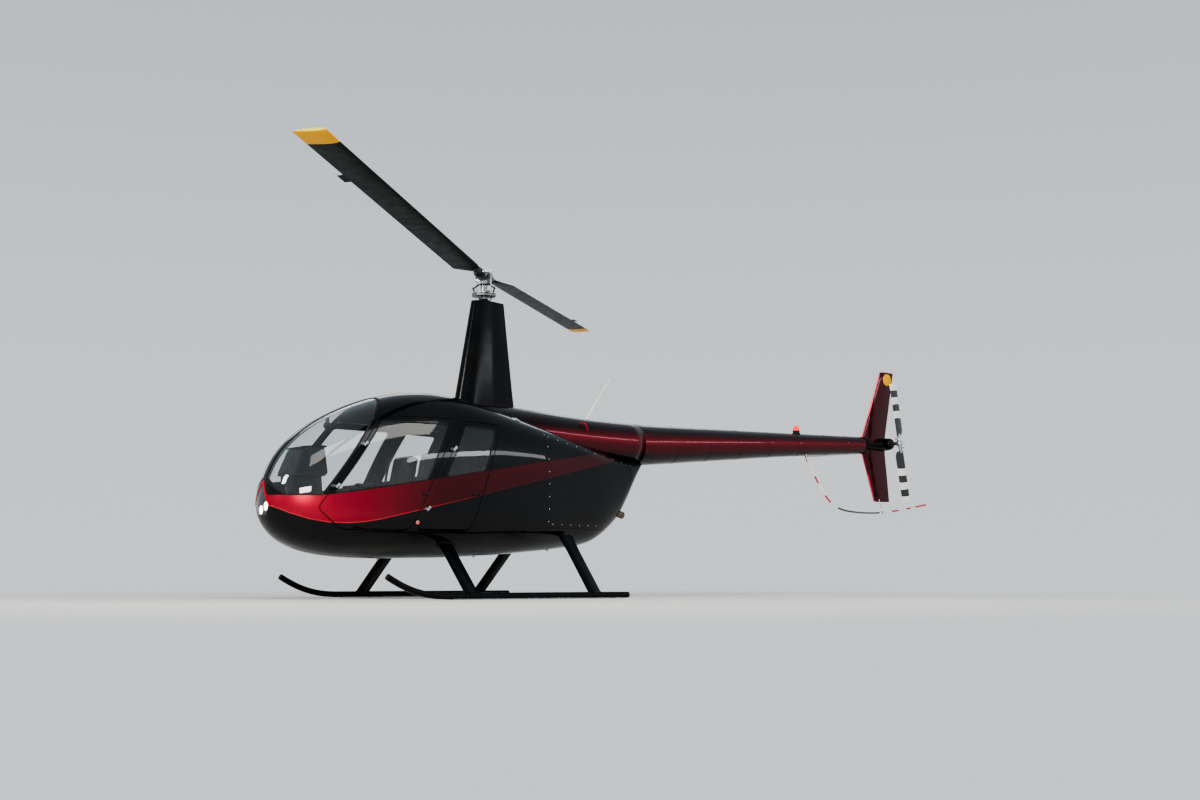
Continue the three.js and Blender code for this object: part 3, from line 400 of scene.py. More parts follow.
def guide(shape):
    """A smooth surface that cut pieces take their shading from."""
    points, faces = shape
    normals = np.zeros_like(points)
    for face in faces:
        a, b, c = points[face[0]], points[face[1]], points[face[2]]
        d = points[face[3]] if len(face) > 3 else a
        cross = np.cross(c - a, d - b) if len(face) > 3 else np.cross(b - a, c - a)
        normals[face] += cross
    normals /= np.linalg.norm(normals, axis=1, keepdims=True) + 1e-12
    return {"tree": BVHTree.FromPolygons(points.tolist(), faces), "points": points, "faces": faces,
        "normals": normals}


def shade(mesh, guides, angle=32):
    """Smooth shading with sharp edges, and true normals where a face lies on a guide."""
    mesh.shade_smooth()
    mesh.set_sharp_from_angle(angle=math.radians(angle))
    if not guides:
        return [0] * len(mesh.polygons)
    normals = [Vector(n.vector) for n in mesh.corner_normals]
    found = []
    for polygon in mesh.polygons:
        match = 0
        for number, rule in enumerate(guides, 1):
            place, normal, index, gap = rule["tree"].find_nearest(polygon.center)
            if gap is None or gap > 0.0012 or abs(normal.dot(polygon.normal)) < 0.9:
                continue
            sign = 1 if normal.dot(polygon.normal) > 0 else -1
            match = number
            for loop in polygon.loop_indices:
                corner = mesh.vertices[mesh.loops[loop].vertex_index].co
                place, normal, index, gap = rule["tree"].find_nearest(corner)
                face = rule["faces"][index]
                shares = poly_3d_calc([Vector(rule["points"][i]) for i in face], place)
                blended = sum((rule["normals"][i] * w for i, w in zip(face, shares)), np.zeros(3))
                normals[loop] = Vector(blended * sign).normalized()
            break
        found.append(match)
    mesh.normals_split_custom_set(normals)
    return found


def settle(item, body="airframe", replaces=()):
    """States what an object rides on, which solids it stands for and its slot."""
    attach(item, body)
    if replaces:
        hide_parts(*([replaces] if isinstance(replaces, str) else replaces))
    return item


def piece(name, shape, material, body="airframe", replaces=(), slot=None, guides=(), inner=None, angle=32):
    """A finished mesh in the frame's place. With guides, faces off the first one take the inner material."""
    mesh = mesh_of(name, *shape)
    mesh.materials.append(materials[material])
    found = shade(mesh, guides, angle)
    if inner:
        mesh.materials.append(materials[inner])
        mesh.polygons.foreach_set("material_index", [0 if n == 1 else 1 for n in found])
    mesh.transform(TO_FRAME)
    return settle(linked(name, mesh), body, replaces)


def pair(name, shape, material, body="airframe", replaces="", guides=(), **rest):
    """A piece and its twin on the right. A body or node that ends in an underscore gets its side's name."""
    for side, made in (("left", shape), ("right", mirrored(shape))):
        own = body + side if body.endswith("_") else body
        node = replaces + side if replaces.endswith("_") else replaces
        piece(f"{name}_{side}", made, material, own, node or (), guides=guides, **rest)


# The nodes used here: Blender's name, usual settings, inputs in the order of their values, output
MATHS = {"times": "MULTIPLY", "over": "DIVIDE", "minus": "SUBTRACT", "less": "LESS_THAN",
    "more": "GREATER_THAN", "size": "ABSOLUTE", "largest": "MAXIMUM", "whole": "FLOOR",
    "to and fro": "PINGPONG"}
KINDS = {
    **{word: ("ShaderNodeMath", {"operation": operation}, (0, 1), 0) for word, operation in MATHS.items()},
    "mix": ("ShaderNodeMix", {"data_type": "RGBA"}, (0, 6, 7), 2),
    "mix numbers": ("ShaderNodeMix", {}, (0, 2, 3), 0),
    "range": ("ShaderNodeMapRange", {"interpolation_type": "SMOOTHSTEP"}, (0, 1, 2, 3, 4), 0),
    "straight range": ("ShaderNodeMapRange", {"interpolation_type": "LINEAR"}, (0, 1, 2, 3, 4), 0),
    "noise": ("ShaderNodeTexNoise", {}, ("Vector", "Scale", "Detail", "Roughness"), "Fac"),
    "cells": ("ShaderNodeTexVoronoi", {}, ("Vector", "Scale"), 0),
    "wave": ("ShaderNodeTexWave", {}, ("Vector", "Scale", "Distortion"), "Fac"),
    "bump": ("ShaderNodeBump", {}, ("Height", "Distance", "Strength"), 0),
    "mapping": ("ShaderNodeMapping", {}, ("Vector", "Location", "Scale"), 0),
    "join axes": ("ShaderNodeCombineXYZ", {}, (0, 1, 2), 0),
    "split axes": ("ShaderNodeSeparateXYZ", {}, (0,), slice(3)),
    "length": ("ShaderNodeVectorMath", {"operation": "LENGTH"}, (0,), "Value"),
    "attribute": ("ShaderNodeAttribute", {}, (), "Fac"),
    "named value": ("GeometryNodeInputNamedAttribute", {"data_type": "FLOAT"}, ("Name",), 0),
    "named vector": ("GeometryNodeInputNamedAttribute", {"data_type": "FLOAT_VECTOR"}, ("Name",), 0),
    "align": ("FunctionNodeAlignRotationToVector", {"axis": "Z"}, ("Vector",), 0),
    "copies": ("GeometryNodeInstanceOnPoints", {}, ("Points", "Instance", "Rotation"), 0),
    "cone": ("GeometryNodeMeshCone", {}, ("Vertices", "Radius Top", "Radius Bottom", "Depth"), 0),
    "round line": ("GeometryNodeCurvePrimitiveCircle", {}, ("Resolution", "Radius"), 0),
    "sweep": ("GeometryNodeCurveToMesh", {}, ("Curve", "Profile Curve", "Scale", "Fill Caps"), 0),
    "kept value": ("GeometryNodeStoreNamedAttribute", {"data_type": "FLOAT", "domain": "POINT"},
                   ("Geometry", "Name", "Value"), 0),
    "real": ("GeometryNodeRealizeInstances", {}, (0,), 0),
    "painted": ("GeometryNodeSetMaterial", {}, ("Geometry", "Material"), 0),
}


def add_node(tree, kind, *values, **settings):
    """Adds one node; each value is a number, a colour or another node's socket. Returns its output."""
    name, usual, order, out = KINDS.get(kind, (kind, {}, range(9), 0))
    item = tree.nodes.new(name)
    for key, value in {**usual, **settings}.items():
        setattr(item, key, value)
    feed(tree, item, dict(zip(order, values)))
    return item.outputs[out]


def feed(tree, item, inputs):
    """Sets or links a node's inputs."""
    for key, value in inputs.items():
        if isinstance(value, bpy.types.NodeSocket):
            tree.links.new(value, item.inputs[key])
        else:
            item.inputs[key].default_value = value


def finish(name, plain, pattern=None, centre=(0, 0, 0)):
    """A material: plain values on the shader, and what varies from pattern, over places round a centre."""
    item = bpy.data.materials.new(name)
    item.use_nodes = True
    tree = item.node_tree
    shader = tree.nodes["Principled BSDF"]
    feed(tree, shader, plain)
    if pattern:
        feed(tree, shader, pattern(partial(add_node, tree), places(tree, centre)))
    return item


def places(tree, centre=(0, 0, 0), scale=(1, 1, 1)):
    """Object coordinates measured from a point given from the mast."""
    source = add_node(tree, "ShaderNodeTexCoord").node.outputs["Object"]
    shift = [-(c + m) * s for c, m, s in zip(centre, (MAST_X, 0, 0), scale)]
    return add_node(tree, "mapping", source, shift, scale)


def edge_height(add, x, points, low=-2.2, high=2.45, stops=30):
    """A height read off a smooth line through points, over a range of places."""
    ramp = add("ShaderNodeValToRGB", add("straight range", x, low, high)).node
    table = smooth_rows(points, 8)
    elements = ramp.color_ramp.elements
    for k in range(stops):
        share = k / (stops - 1)
        height = read_off(table, low + share * (high - low), 1)
        stop = elements[0] if k == 0 else elements[-1] if k == stops - 1 else elements.new(share)
        stop.position, stop.color = share, (height, height, height, 1)
    return ramp.outputs[0]


# Upper and lower edge of the red band on the body, from tail to nose, as place and height
BAND_TOP = [(-2.2, 1.66), (-1.4, 1.52), (-0.42, 1.362), (0.32, 1.24), (0.98, 1.126), (1.95, 0.966),
    (2.45, 0.958)]
BAND_FOOT = [(-2.2, 1.59), (-1.0, 1.325), (-0.2, 1.144), (0.56, 0.965), (1.26, 0.803), (1.55, 0.735),
    (1.8, 0.706), (2.05, 0.722), (2.25, 0.778), (2.38, 0.842), (2.45, 0.88)]


# Sprayed two-pack urethane with its clear coat
URETHANE = {"Coat Weight": 0.55, "Coat Roughness": 0.03, "Coat IOR": 1.4}
MAROON = {**URETHANE, "Metallic": 0.7, "Specular IOR Level": 0.1}


def polished(add, at, low=0.24, high=0.38, dust=3.0, peel=140.0, depth=0.00035):
    """Roughness and relief of polished paint: a little dust and faint orange peel."""
    return {
        "Roughness": add("range", add("noise", at, dust, 6.0), 0.3, 0.8, low, high),
        "Normal": add("bump", add("noise", at, peel, 2.0), depth, 0.35),
    }


def flaked(add, at, colour, flake, most=0.2):
    """A metallic paint's colour with its flakes showing through, up to a share."""
    return add("mix", add("range", add("noise", at, 900.0, 1.0), 0.4, 0.7, 0.0, most), colour, flake)


def body_paint(paint):
    """Two-pack urethane under a clear coat: wet gloss, faint orange peel, black, with a candy-red
    metallic band that sinks to maroon aft."""
    def pattern(add, at):
        x, _, z = add("split axes", at)
        foot = edge_height(add, x, BAND_FOOT)
        inside = add("times", add("less", z, edge_height(add, x, BAND_TOP)), add("more", z, foot))
        stripe = add("less", add("size", add("minus", z, foot)), 0.005)
        bright = flaked(add, at, paint.band, paint.flake, 0.15)
        red = add("mix", add("range", x, 2.35, 0.75), bright, paint.maroon)
        line = add("mix", add("range", x, 1.9, 0.2), paint.pinstripe, paint.maroon)
        gloss = polished(add, at, 0.16, 0.34)
        return {
            "Base Color": add("mix", stripe, add("mix", inside, paint.black, red), line),
            "Metallic": add("times", inside, 0.8),
            "Roughness": add("mix numbers", inside, gloss["Roughness"], 0.3),
            "Normal": gloss["Normal"],
        }

    return finish("urethane_body_paint", {**URETHANE, "Coat Roughness": 0.02, "Specular IOR Level": 0.05},
        pattern)


def boom_paint(paint):
    """Maroon metallic urethane: deep red along the sides, nearly black along the top and the keel."""
    def pattern(add, at):
        x, _, z = add("split axes", at)
        (tail, low, thin), (front, high, wide) = BOOM[0], BOOM[2]
        above = add("minus", z, add("straight range", x, tail, front, low, high))
        height = add("over", above, add("straight range", x, tail, front, thin, wide))
        # The top is darkened toward black as a painted reflection and the keel as painted shade
        dark = add("largest", add("range", height, 0.35, 0.62), add("range", height, -0.3, -0.7))
        # A deep red line along each side, a little above the middle, is a painted highlight
        off = add("size", add("minus", height, 0.1))
        side = add("mix", add("range", off, 0.3, 0.04), paint.maroon, paint.strip)
        colour = flaked(add, at, side, paint.band)
        return {"Base Color": add("mix", add("times", dark, 0.9), colour, paint.black), **polished(add, at)}

    return finish("maroon_metallic_paint", MAROON, pattern)


def fin_paint(paint):
    """The same maroon urethane on the fins, with a candy-red leading edge."""
    def pattern(add, at):
        # The leading edge's candy red is a painted highlight for the glint on the rounded edge
        edge = add("more", add("attribute", attribute_name="edge"), 0.5)
        return {"Base Color": add("mix", edge, flaked(add, at, paint.fin, paint.band), paint.edge),
            **polished(add, at)}

    return finish("maroon_fin_paint", MAROON, pattern)


def gloss_paint(name, colour):
    """Plain urethane enamel: even colour, a soft gloss and a little dust."""
    plain = {"Base Color": colour, "Coat Weight": 0.2, "Coat Roughness": 0.12, "Coat IOR": 1.4,
        "Specular IOR Level": 0.06}
    return finish(name, plain, lambda add, at: polished(add, at, 0.2, 0.4, 6.0, 160.0, 0.0003))


def blade_paint(paint):
    """Flat polyurethane on rotor blades: satin black, rubbed paler near the leading edge, amber tips."""
    def pattern(add, at):
        x, y, z = add("split axes", at)
        reach = add("length", add("join axes", x, y))
        stretched = places(z.node.id_data, (0, 0, ROTOR_HEIGHT), (1, 1, 6))
        wear = add("noise", stretched, 9.0, 8.0, 0.65)
        dark = add("mix", add("range", wear, 0.5, 0.9, 0.0, 0.3), paint.blade, linear("1A1B1D"))
        amber = add("mix", add("range", wear, 0.45, 0.8, 0.0, 0.25), paint.tip, linear("B07C1A"))
        tipped = add("mix", add("more", reach, ROTOR_RADIUS - 0.33), dark, amber)
        return {
            "Base Color": add("mix", add("more", reach, ROTOR_RADIUS - 0.02), tipped, linear("D9C34A")),
            "Roughness": add("range", wear, 0.3, 0.8, 0.42, 0.56),
            "Normal": add("bump", add("noise", at, 25.0, 2.0), 0.0003, 0.15),
        }

    return finish("satin_blade_paint", {"Specular IOR Level": 0.08}, pattern, (0, 0, ROTOR_HEIGHT))


def tail_blade_paint(paint):
    """Enamel bands on the tail rotor: white and black from the tip inwards, black at the root."""
    def pattern(add, at):
        x, _, z = add("split axes", at)
        reach = add("length", add("join axes", x, z))
        steps = add("over", add("minus", TAIL_RADIUS, reach), 0.085)
        even = add("less", add("to and fro", add("whole", steps), 1.0), 0.5)
        white = add("times", even, add("more", reach, 0.31))
        grime = add("range", add("noise", at, 40.0, 6.0), 0.4, 0.8, 0.0, 0.25)
        return {
            "Base Color": add("mix", white, linear("101113"),
                add("mix", grime, paint.white, linear("A9A79E"))),
            "Roughness": add("range", add("noise", at, 20.0, 4.0), 0.3, 0.8, 0.25, 0.45),
        }

    return finish("banded_enamel", {"Coat Weight": 0.5, "Coat Roughness": 0.1}, pattern, TAIL_HUB)


# Bands of the tail guard along its length: where each starts and its colour
GUARD_BANDS = [(0.0, "white"), (0.2, "red"), (0.3, "white"), (0.46, "red"), (0.57, "white"), (0.68, "black"),
    (1.62, "white"), (1.86, "red"), (1.98, "white"), (2.12, "red"), (2.2, "white"), (2.28, "red")]


def guard_paint(paint):
    """Enamel on a steel tube: red and white warning bands with a black stretch between."""
    def pattern(add, at):
        ramp = add("ShaderNodeValToRGB", add("over", add("attribute", attribute_name="along"), 3.0)).node
        ramp.color_ramp.interpolation = "CONSTANT"
        colours = {"white": paint.white, "red": linear("B3121E"), "black": linear("131416")}
        stops = ramp.color_ramp.elements
        for k, (start, name) in enumerate(GUARD_BANDS):
            stop = stops[k] if k < 2 else stops.new(start / 3.0)
            stop.position, stop.color = start / 3.0, colours[name]
        grime = add("range", add("noise", at, 50.0, 6.0), 0.45, 0.8, 0.0, 0.3)
        return {"Base Color": add("mix", grime, ramp.outputs[0], linear("5A564E"))}

    return finish("warning_enamel", {"Coat Weight": 0.6, "Coat Roughness": 0.08, "Roughness": 0.35}, pattern)


def acrylic(name, tint):
    """Cast acrylic glazing, 5 mm thick: clear, IOR 1.49, with a breath of tint."""
    return finish(name, {"Base Color": tint, "Transmission Weight": 1.0, "IOR": 1.49, "Roughness": 0.0})


def leather(name, colour, dark):
    """Dyed hide over foam: pebbled grain drawn coarser than 2 mm so that it shows, a soft sheen on the
    crests and darker creases."""
    def pattern(add, at):
        crease = add("range", add("cells", at, 260.0, feature="DISTANCE_TO_EDGE"), 0.0, 0.12)
        worn = add("noise", at, 9.0, 5.0)
        return {
            "Base Color": add("mix", crease, dark, add("mix", worn, colour, dark)),
            "Roughness": add("range", worn, 0.3, 0.7, 0.42, 0.6),
            "Normal": add("bump", crease, 0.0008, 0.6),
        }

    return finish(name, {"Specular IOR Level": 0.4, "Sheen Weight": 0.15, "Sheen Roughness": 0.4}, pattern)


def carpet(name, colour, pale):
    """Looped wool carpet: tufts 3 mm across that break up the light."""
    def pattern(add, at):
        tufts = add("cells", at, 280.0)
        return {"Base Color": add("mix", tufts, colour, pale), "Normal": add("bump", tufts, 0.002, 0.8)}

    return finish(name, {"Roughness": 0.95, "Specular IOR Level": 0.15, "Sheen Weight": 0.3}, pattern)


def moulded(name, colour, rough=0.5, grain=420.0):
    """Moulded ABS: a fine spark-eroded texture, dull, with faint handling marks."""
    def pattern(add, at):
        marks = add("range", add("noise", at, 5.0, 4.0), 0.3, 0.7, 0.0, 0.3)
        return {
            "Base Color": add("mix", marks, colour, linear("2B2C2E")),
            "Roughness": add("range", add("noise", at, 14.0, 5.0), 0.3, 0.7, rough - 0.08, rough + 0.1),
            "Normal": add("bump", add("noise", at, grain, 2.0), 0.0004, 0.4),
        }

    return finish(name, {"IOR": 1.5}, pattern)


def metal(name, colour, rough, brush=(1, 1, 1), stain="5C5A55"):
    """Worked metal: tool marks drawn along one way, and patches of oil film."""
    def pattern(add, at):
        film = add("range", add("noise", at, 22.0, 6.0), 0.45, 0.75, 0.0, 0.45)
        marks = add("noise", places(at.node.id_data, scale=brush), 180.0, 3.0)
        return {
            "Base Color": add("mix", film, linear(colour), linear(stain)),
            "Roughness": add("range", marks, 0.3, 0.7, rough - 0.06, rough + 0.1),
            "Normal": add("bump", marks, 0.0003, 0.3),
        }

    return finish(name, {"Metallic": 1.0}, pattern)


def rubber(name, colour):
    """Nitrile rubber: matt black with a grey bloom."""
    def pattern(add, at):
        bloom = add("range", add("noise", at, 30.0, 5.0), 0.4, 0.8, 0.0, 0.35)
        return {"Base Color": add("mix", bloom, colour, linear("3A3A3A")),
                "Roughness": add("straight range", bloom, 0.0, 0.35, 0.6, 0.8)}

    return finish(name, {"Specular IOR Level": 0.3}, pattern)


def lens(name, tint, glow, glow_colour):
    """Moulded polycarbonate lens: clear or dyed, ribbed inside to spread the lamp's light."""
    plain = {"Base Color": tint, "Transmission Weight": 0.6, "IOR": 1.58, "Roughness": 0.06,
             "Emission Color": glow_colour, "Emission Strength": glow}
    return finish(name, plain, lambda add, at: {"Normal": add("bump", add("wave", at, 60.0), 0.0006, 0.5)})


def webbing(name, colour):
    """Woven polyester harness webbing: a herringbone of threads 1.5 mm wide."""
    def pattern(add, at):
        weave = add("wave", at, 110.0, 2.0, bands_direction="DIAGONAL")
        return {"Base Color": add("mix", weave, colour, linear("34353A")),
            "Normal": add("bump", weave, 0.0007, 0.6)}

    return finish(name, {"Roughness": 0.75, "Sheen Weight": 0.25}, pattern)


def stage_paper(name, colour, air, strength):
    """Seamless background paper: matt, slightly uneven, lit evenly far out so that it meets the air."""
    def pattern(add, at):
        far = add("range", add("length", at), 2.0, 10.0)
        haze = add("range", add("noise", at, 0.4, 3.0), 0.3, 0.7, 0.0, 0.5)
        return {
            "Base Color": add("mix", far, add("mix", haze, colour, linear("D2D0CD")), linear("000000")),
            "Emission Strength": add("times", far, strength),
        }

    return finish(name, {"Roughness": 0.9, "Specular IOR Level": 0.0, "Emission Color": air}, pattern)


def make_materials():
    """Fills the table of finishes."""
    paint = bpy.context.scene.helicopter_paint
    materials.update({
        "body": body_paint(paint),
        "boom": boom_paint(paint),
        "fin": fin_paint(paint),
        "black": gloss_paint("black_enamel", paint.black),
        "red": gloss_paint("red_enamel", linear("A31222")),
        "white": gloss_paint("white_enamel", paint.white),
        "yellow": gloss_paint("yellow_enamel", linear("E2A51C")),
        "blade": blade_paint(paint),
        "banded": tail_blade_paint(paint),
        "guard": guard_paint(paint),
        "glass": acrylic("cast_acrylic", (0.9, 0.93, 0.94, 1.0)),
        "seat": leather("dyed_hide", linear("1F1C1B"), linear("0C0B0B")),
        "piping": leather("hide_piping", linear("4A1218"), linear("22080B")),
        "carpet": carpet("wool_carpet", linear("17181A"), linear("2E2F33")),
        "liner": moulded("cabin_liner", linear("1A1B1D"), 0.7, 260.0),
        "abs": moulded("moulded_abs", linear("141517")),
        "anodised": metal("anodised_aluminium", "B9BCC0", 0.32, (1, 1, 8)),
        "steel": metal("ground_steel", "8E9196", 0.28, (1, 1, 10)),
        "cast": metal("cast_aluminium", "8B8C8A", 0.48),
        "darkmetal": metal("black_oxide_steel", "26282B", 0.42),
        "sooty": metal("sooted_stainless", "6A5F52", 0.45, (1, 6, 1), "1B1512"),
        "chrome": metal("polished_reflector", "F2F2F0", 0.1, stain="E0E0DC"),
        "rubber": rubber("nitrile_rubber", linear("0E0E0F")),
        "webbing": webbing("harness_webbing", linear("16171A")),
        "redlens": lens("red_polycarbonate", (0.85, 0.02, 0.02, 1), 0.6, (1, 0.05, 0.04, 1)),
        "greenlens": lens("green_polycarbonate", (0.02, 0.6, 0.2, 1), 0.4, (0.05, 1, 0.4, 1)),
        "lamp": lens("lamp_glass", (0.97, 0.97, 0.95, 1), 2.5, (1, 0.93, 0.8, 1)),
        "dial": gloss_paint("dial_face", linear("08090A")),
    })


# Geometry node trees, each with its builder, which gets the tree's inputs and returns the geometry
def fastener_heads(add, given):
    """Sets a domed head on every point, facing the way that the point's own arrow says."""
    top = add("times", given["Head Radius"], 0.62)
    head = add("cone", given["Sides"], top, given["Head Radius"], given["Head Height"])
    return add("copies", given["Geometry"], head, add("align", add("named vector", "facing")))


def tube(add, given):
    """Skins a round tube over a path whose points carry their own radius, and keeps the length along it."""
    line = add("GeometryNodeMeshToCurve", given["Geometry"])
    marked = add("kept value", line, "along", add("GeometryNodeSplineParameter").node.outputs["Length"])
    return add("sweep", marked, add("round line", given["Sides"], 1.0), add("named value", "reach"), True)


def dial_marks(add, given):
    """Rings every point with the scale marks of an instrument."""
    ring = add("GeometryNodeMeshCircle", given["Marks"], given["Dial Radius"])
    outward = add("align", add("GeometryNodeInputPosition"), axis="X")
    marks = add("copies", ring, add("GeometryNodeMeshCube", (0.006, 0.0016, 0.0008)), outward)
    return add("copies", given["Geometry"], marks, add("align", add("named vector", "facing")))


TREES = {
    "heads": ("Fastener Heads", fastener_heads, {"Head Radius": 0.006, "Head Height": 0.002, "Sides": 10}),
    "tube": ("Tube Along Path", tube, {"Sides": 20}),
    "dials": ("Dial Marks", dial_marks, {"Marks": 12, "Dial Radius": 0.026}),
}


def tree_named(name):
    """A geometry tree with its named inputs, made once; what its builder draws is made real and painted."""
    label, build, inputs = TREES[name]
    if label in bpy.data.node_groups:
        return bpy.data.node_groups[label]
    tree = bpy.data.node_groups.new(label, "GeometryNodeTree")
    tree.interface.new_socket("Geometry", in_out="INPUT", socket_type="NodeSocketGeometry")
    for key, value in inputs.items():
        kind = "NodeSocketInt" if isinstance(value, int) else "NodeSocketFloat"
        tree.interface.new_socket(key, in_out="INPUT", socket_type=kind).default_value = value
    tree.interface.new_socket("Material", in_out="INPUT", socket_type="NodeSocketMaterial")
    tree.interface.new_socket("Geometry", in_out="OUTPUT", socket_type="NodeSocketGeometry")
    given, sink = tree.nodes.new("NodeGroupInput").outputs, tree.nodes.new("NodeGroupOutput")
    real = add_node(tree, "real", build(partial(add_node, tree), given))
    tree.links.new(add_node(tree, "painted", real, given["Material"]), sink.inputs[0])
    return tree


def grown(name, tree_name, points, edges, attributes, inputs, material, body="airframe", replaces=(),
        slot=None):
    """Runs a geometry tree over points with attributes and keeps the result as a plain piece."""
    tree, inputs = tree_named(tree_name), {**inputs, "Material": materials[material]}
    item = linked(name, mesh_of(name, points, [], edges))
    for label, kind, values in attributes:
        field = "vector" if kind == "FLOAT_VECTOR" else "value"
        attribute = item.data.attributes.new(label, kind, "POINT")
        attribute.data.foreach_set(field, np.array(values, np.float32).ravel())
    modifier = item.modifiers.new("grow", "NODES")
    modifier.node_group = tree
    for socket in tree.interface.items_tree:
        if socket.in_out == "INPUT" and socket.name in inputs:
            modifier[socket.identifier] = inputs[socket.name]
    item.data = evaluated(item)
    item.modifiers.remove(modifier)
    item.data.name = name
    item.data.transform(TO_FRAME)
    shade(item.data, ())
    return settle(item, body, replaces)


def heads(name, spots, material, body="airframe", radius=0.006, height=0.002, sides=10):
    """Fastener heads at spots, each a point and the way that it faces."""
    points = [p for p, _ in spots]
    facing = [tuple(n) for _, n in spots]
    inputs = {"Head Radius": radius, "Head Height": height, "Sides": sides}
    return grown(name, "heads", points, [], [("facing", "FLOAT_VECTOR", facing)], inputs, material, body)


def pipe(name, points, radius, material, body="airframe", sides=20, closed=False, **rest):
    """A tube along a path or round a loop; radius is one number or one for each point."""
    radii = [radius] * len(points) if np.isscalar(radius) else list(radius)
    edges = [(i, i + 1) for i in range(len(points) - 1)]
    if closed:
        edges.append((len(points) - 1, 0))
    return grown(name, "tube", points, edges, [("reach", "FLOAT", radii)], {"Sides": sides}, material, body,
        **rest)


# The body's outer skin and the surfaces that lie inside it: how far in and where each starts
SURFACES = {
    "outer": (),
    "space": (-WALL, CABIN_REAR + BULKHEAD),
    "fit": (-WALL - 0.0005, CABIN_REAR + BULKHEAD + 0.0005),
    "glass_outer": (-0.005,),
    "glass_inner": (-0.01,),
    "cowl_inner": (-0.028,),
}
surfaces = {}


def surface(name):
    """A shared surface, made once."""
    if name not in surfaces:
        surfaces[name] = fuselage(*SURFACES[name])
    return surfaces[name]


def guides_for(*names):
    """Shading guides for named surfaces, made once."""
    for name in names:
        if "guide_" + name not in surfaces:
            surfaces["guide_" + name] = guide(surface(name))
    return [surfaces["guide_" + name] for name in names]


def on_skin(start, way):
    """Where a ray meets the body's outer skin, and the skin's direction there."""
    place, normal, *_ = guides_for("outer")[0]["tree"].ray_cast(Vector(start), Vector(way))
    return (place, normal) if place else None


def side_spot(x, z, side=1):
    """The skin's point at a place and height on one side."""
    return on_skin((x, side * 2, z), (0, -side, 0))


def rows_along(points, step):
    """Points every step along a broken line, ends included."""
    out = []
    for a, b in zip(points, points[1:]):
        a, b = np.array(a, float), np.array(b, float)
        count = max(1, round(np.linalg.norm(b - a) / step))
        out += [a + (b - a) * k / count for k in range(count)]
    return out + [np.array(points[-1], float)]


def hinge_half(line, height, side, low, length=0.024, radius=0.009):
    """Half a door hinge: side -1 is on the body, 1 on the door; low is where it starts on the pin."""
    foot_x, foot_z = line["foot"]
    x = foot_x + line["slope"] * (height - foot_z)
    depth = line["out"] - side_spot(x - side * 0.0135, height)[0].y
    flat, reach = radius - 0.002, 0.027
    plate = [(0, flat), (-side * 2 * flat, flat), (-side * reach, -depth + 0.003),
        (-side * reach, -depth - 0.014), (-side * radius, -depth - 0.014), (-side * radius, -flat),
        (0, -flat)]
    leaf = prism(plate, low, low + length, "xy")
    barrel = lathe([(radius - 0.001, low), (radius, low + 0.001), (radius, low + length - 0.001),
        (radius - 0.001, low + length)], count=20)
    pin_end = low + length if side > 0 else low
    pin = lathe([(0.004, pin_end - 0.003), (0.004, pin_end + 0.003)], count=14)
    lean = Matrix.Rotation(math.atan(line["slope"]), 4, "Y")
    return moved(join(leaf, barrel, pin), slide((x, line["out"], height)) @ lean)


def build_skins():
    """Lower tub with the nose, and the roof with its posts and centre bow."""
    outer, space = surface("outer"), surface("space")
    shell = cut(common(outer, block((CABIN_REAR, -2, -1), (4, 2, 4), 0.001, 1)), space)
    for outline in (FRONT_DOOR, REAR_DOOR):
        hole = prism(outline, 0.2, 0.8, corner=DOOR_CORNER)
        shell = cut(shell, hole, mirrored(hole))
    screen = common(prism(SCREEN_SIDE, 0.02, 0.8), prism(SCREEN_SILL, 1.0, 2.6, "yz"))
    shell = cut(shell, screen, mirrored(screen), prism(LAMP_OPENING, 2.2, 2.6, "yz", 0.03))

    def above(gap):
        rise, (nose_x, nose_z) = BELT + gap, NOSE_BELT
        outline = [(-0.6, rise), (nose_x, rise), (nose_x, nose_z + gap), (2.7, nose_z + gap), (2.7, 2.3),
            (-0.6, 2.3)]
        return prism(outline, -0.9, 0.9)

    look = {"guides": guides_for("outer", "space"), "inner": "liner", "slot": "black_paint"}
    piece("tub_skin", cut(shell, above(0)), "body", replaces=LOWER_CABIN, **look)
    piece("roof_skin", common(shell, above(0.0004)), "body", replaces="cabin_roof", **look)
    fixed = [hinge_half(line, h, -1, -0.024) for line in (FRONT_HINGES, REAR_HINGES)
        for h in line["heights"]]
    pair("body_hinges", join(*fixed), "anodised", slot="bare_metal")


def build_glazing():
    """Two windscreen shells with a rubber bead round each."""
    shell = cut(surface("glass_outer"), surface("glass_inner"))

    def opening(gap, middle):
        return common(prism(offset(SCREEN_SIDE, -gap), middle, 0.8),
            prism(offset(SCREEN_SILL, -gap), 1.0, 2.6, "yz"))

    pair("screen_pane", common(shell, opening(0.0005, 0.0205)), "glass", replaces="windscreen_",
        guides=guides_for("glass_outer", "glass_inner"), slot="clear_glass")
    trim = cut(surface("outer"), fuselage(-0.0048))
    band = cut(opening(0.0006, 0.0206), opening(0.014, 0.034))
    pair("screen_bead", common(trim, band), "rubber", guides=guides_for("outer"))


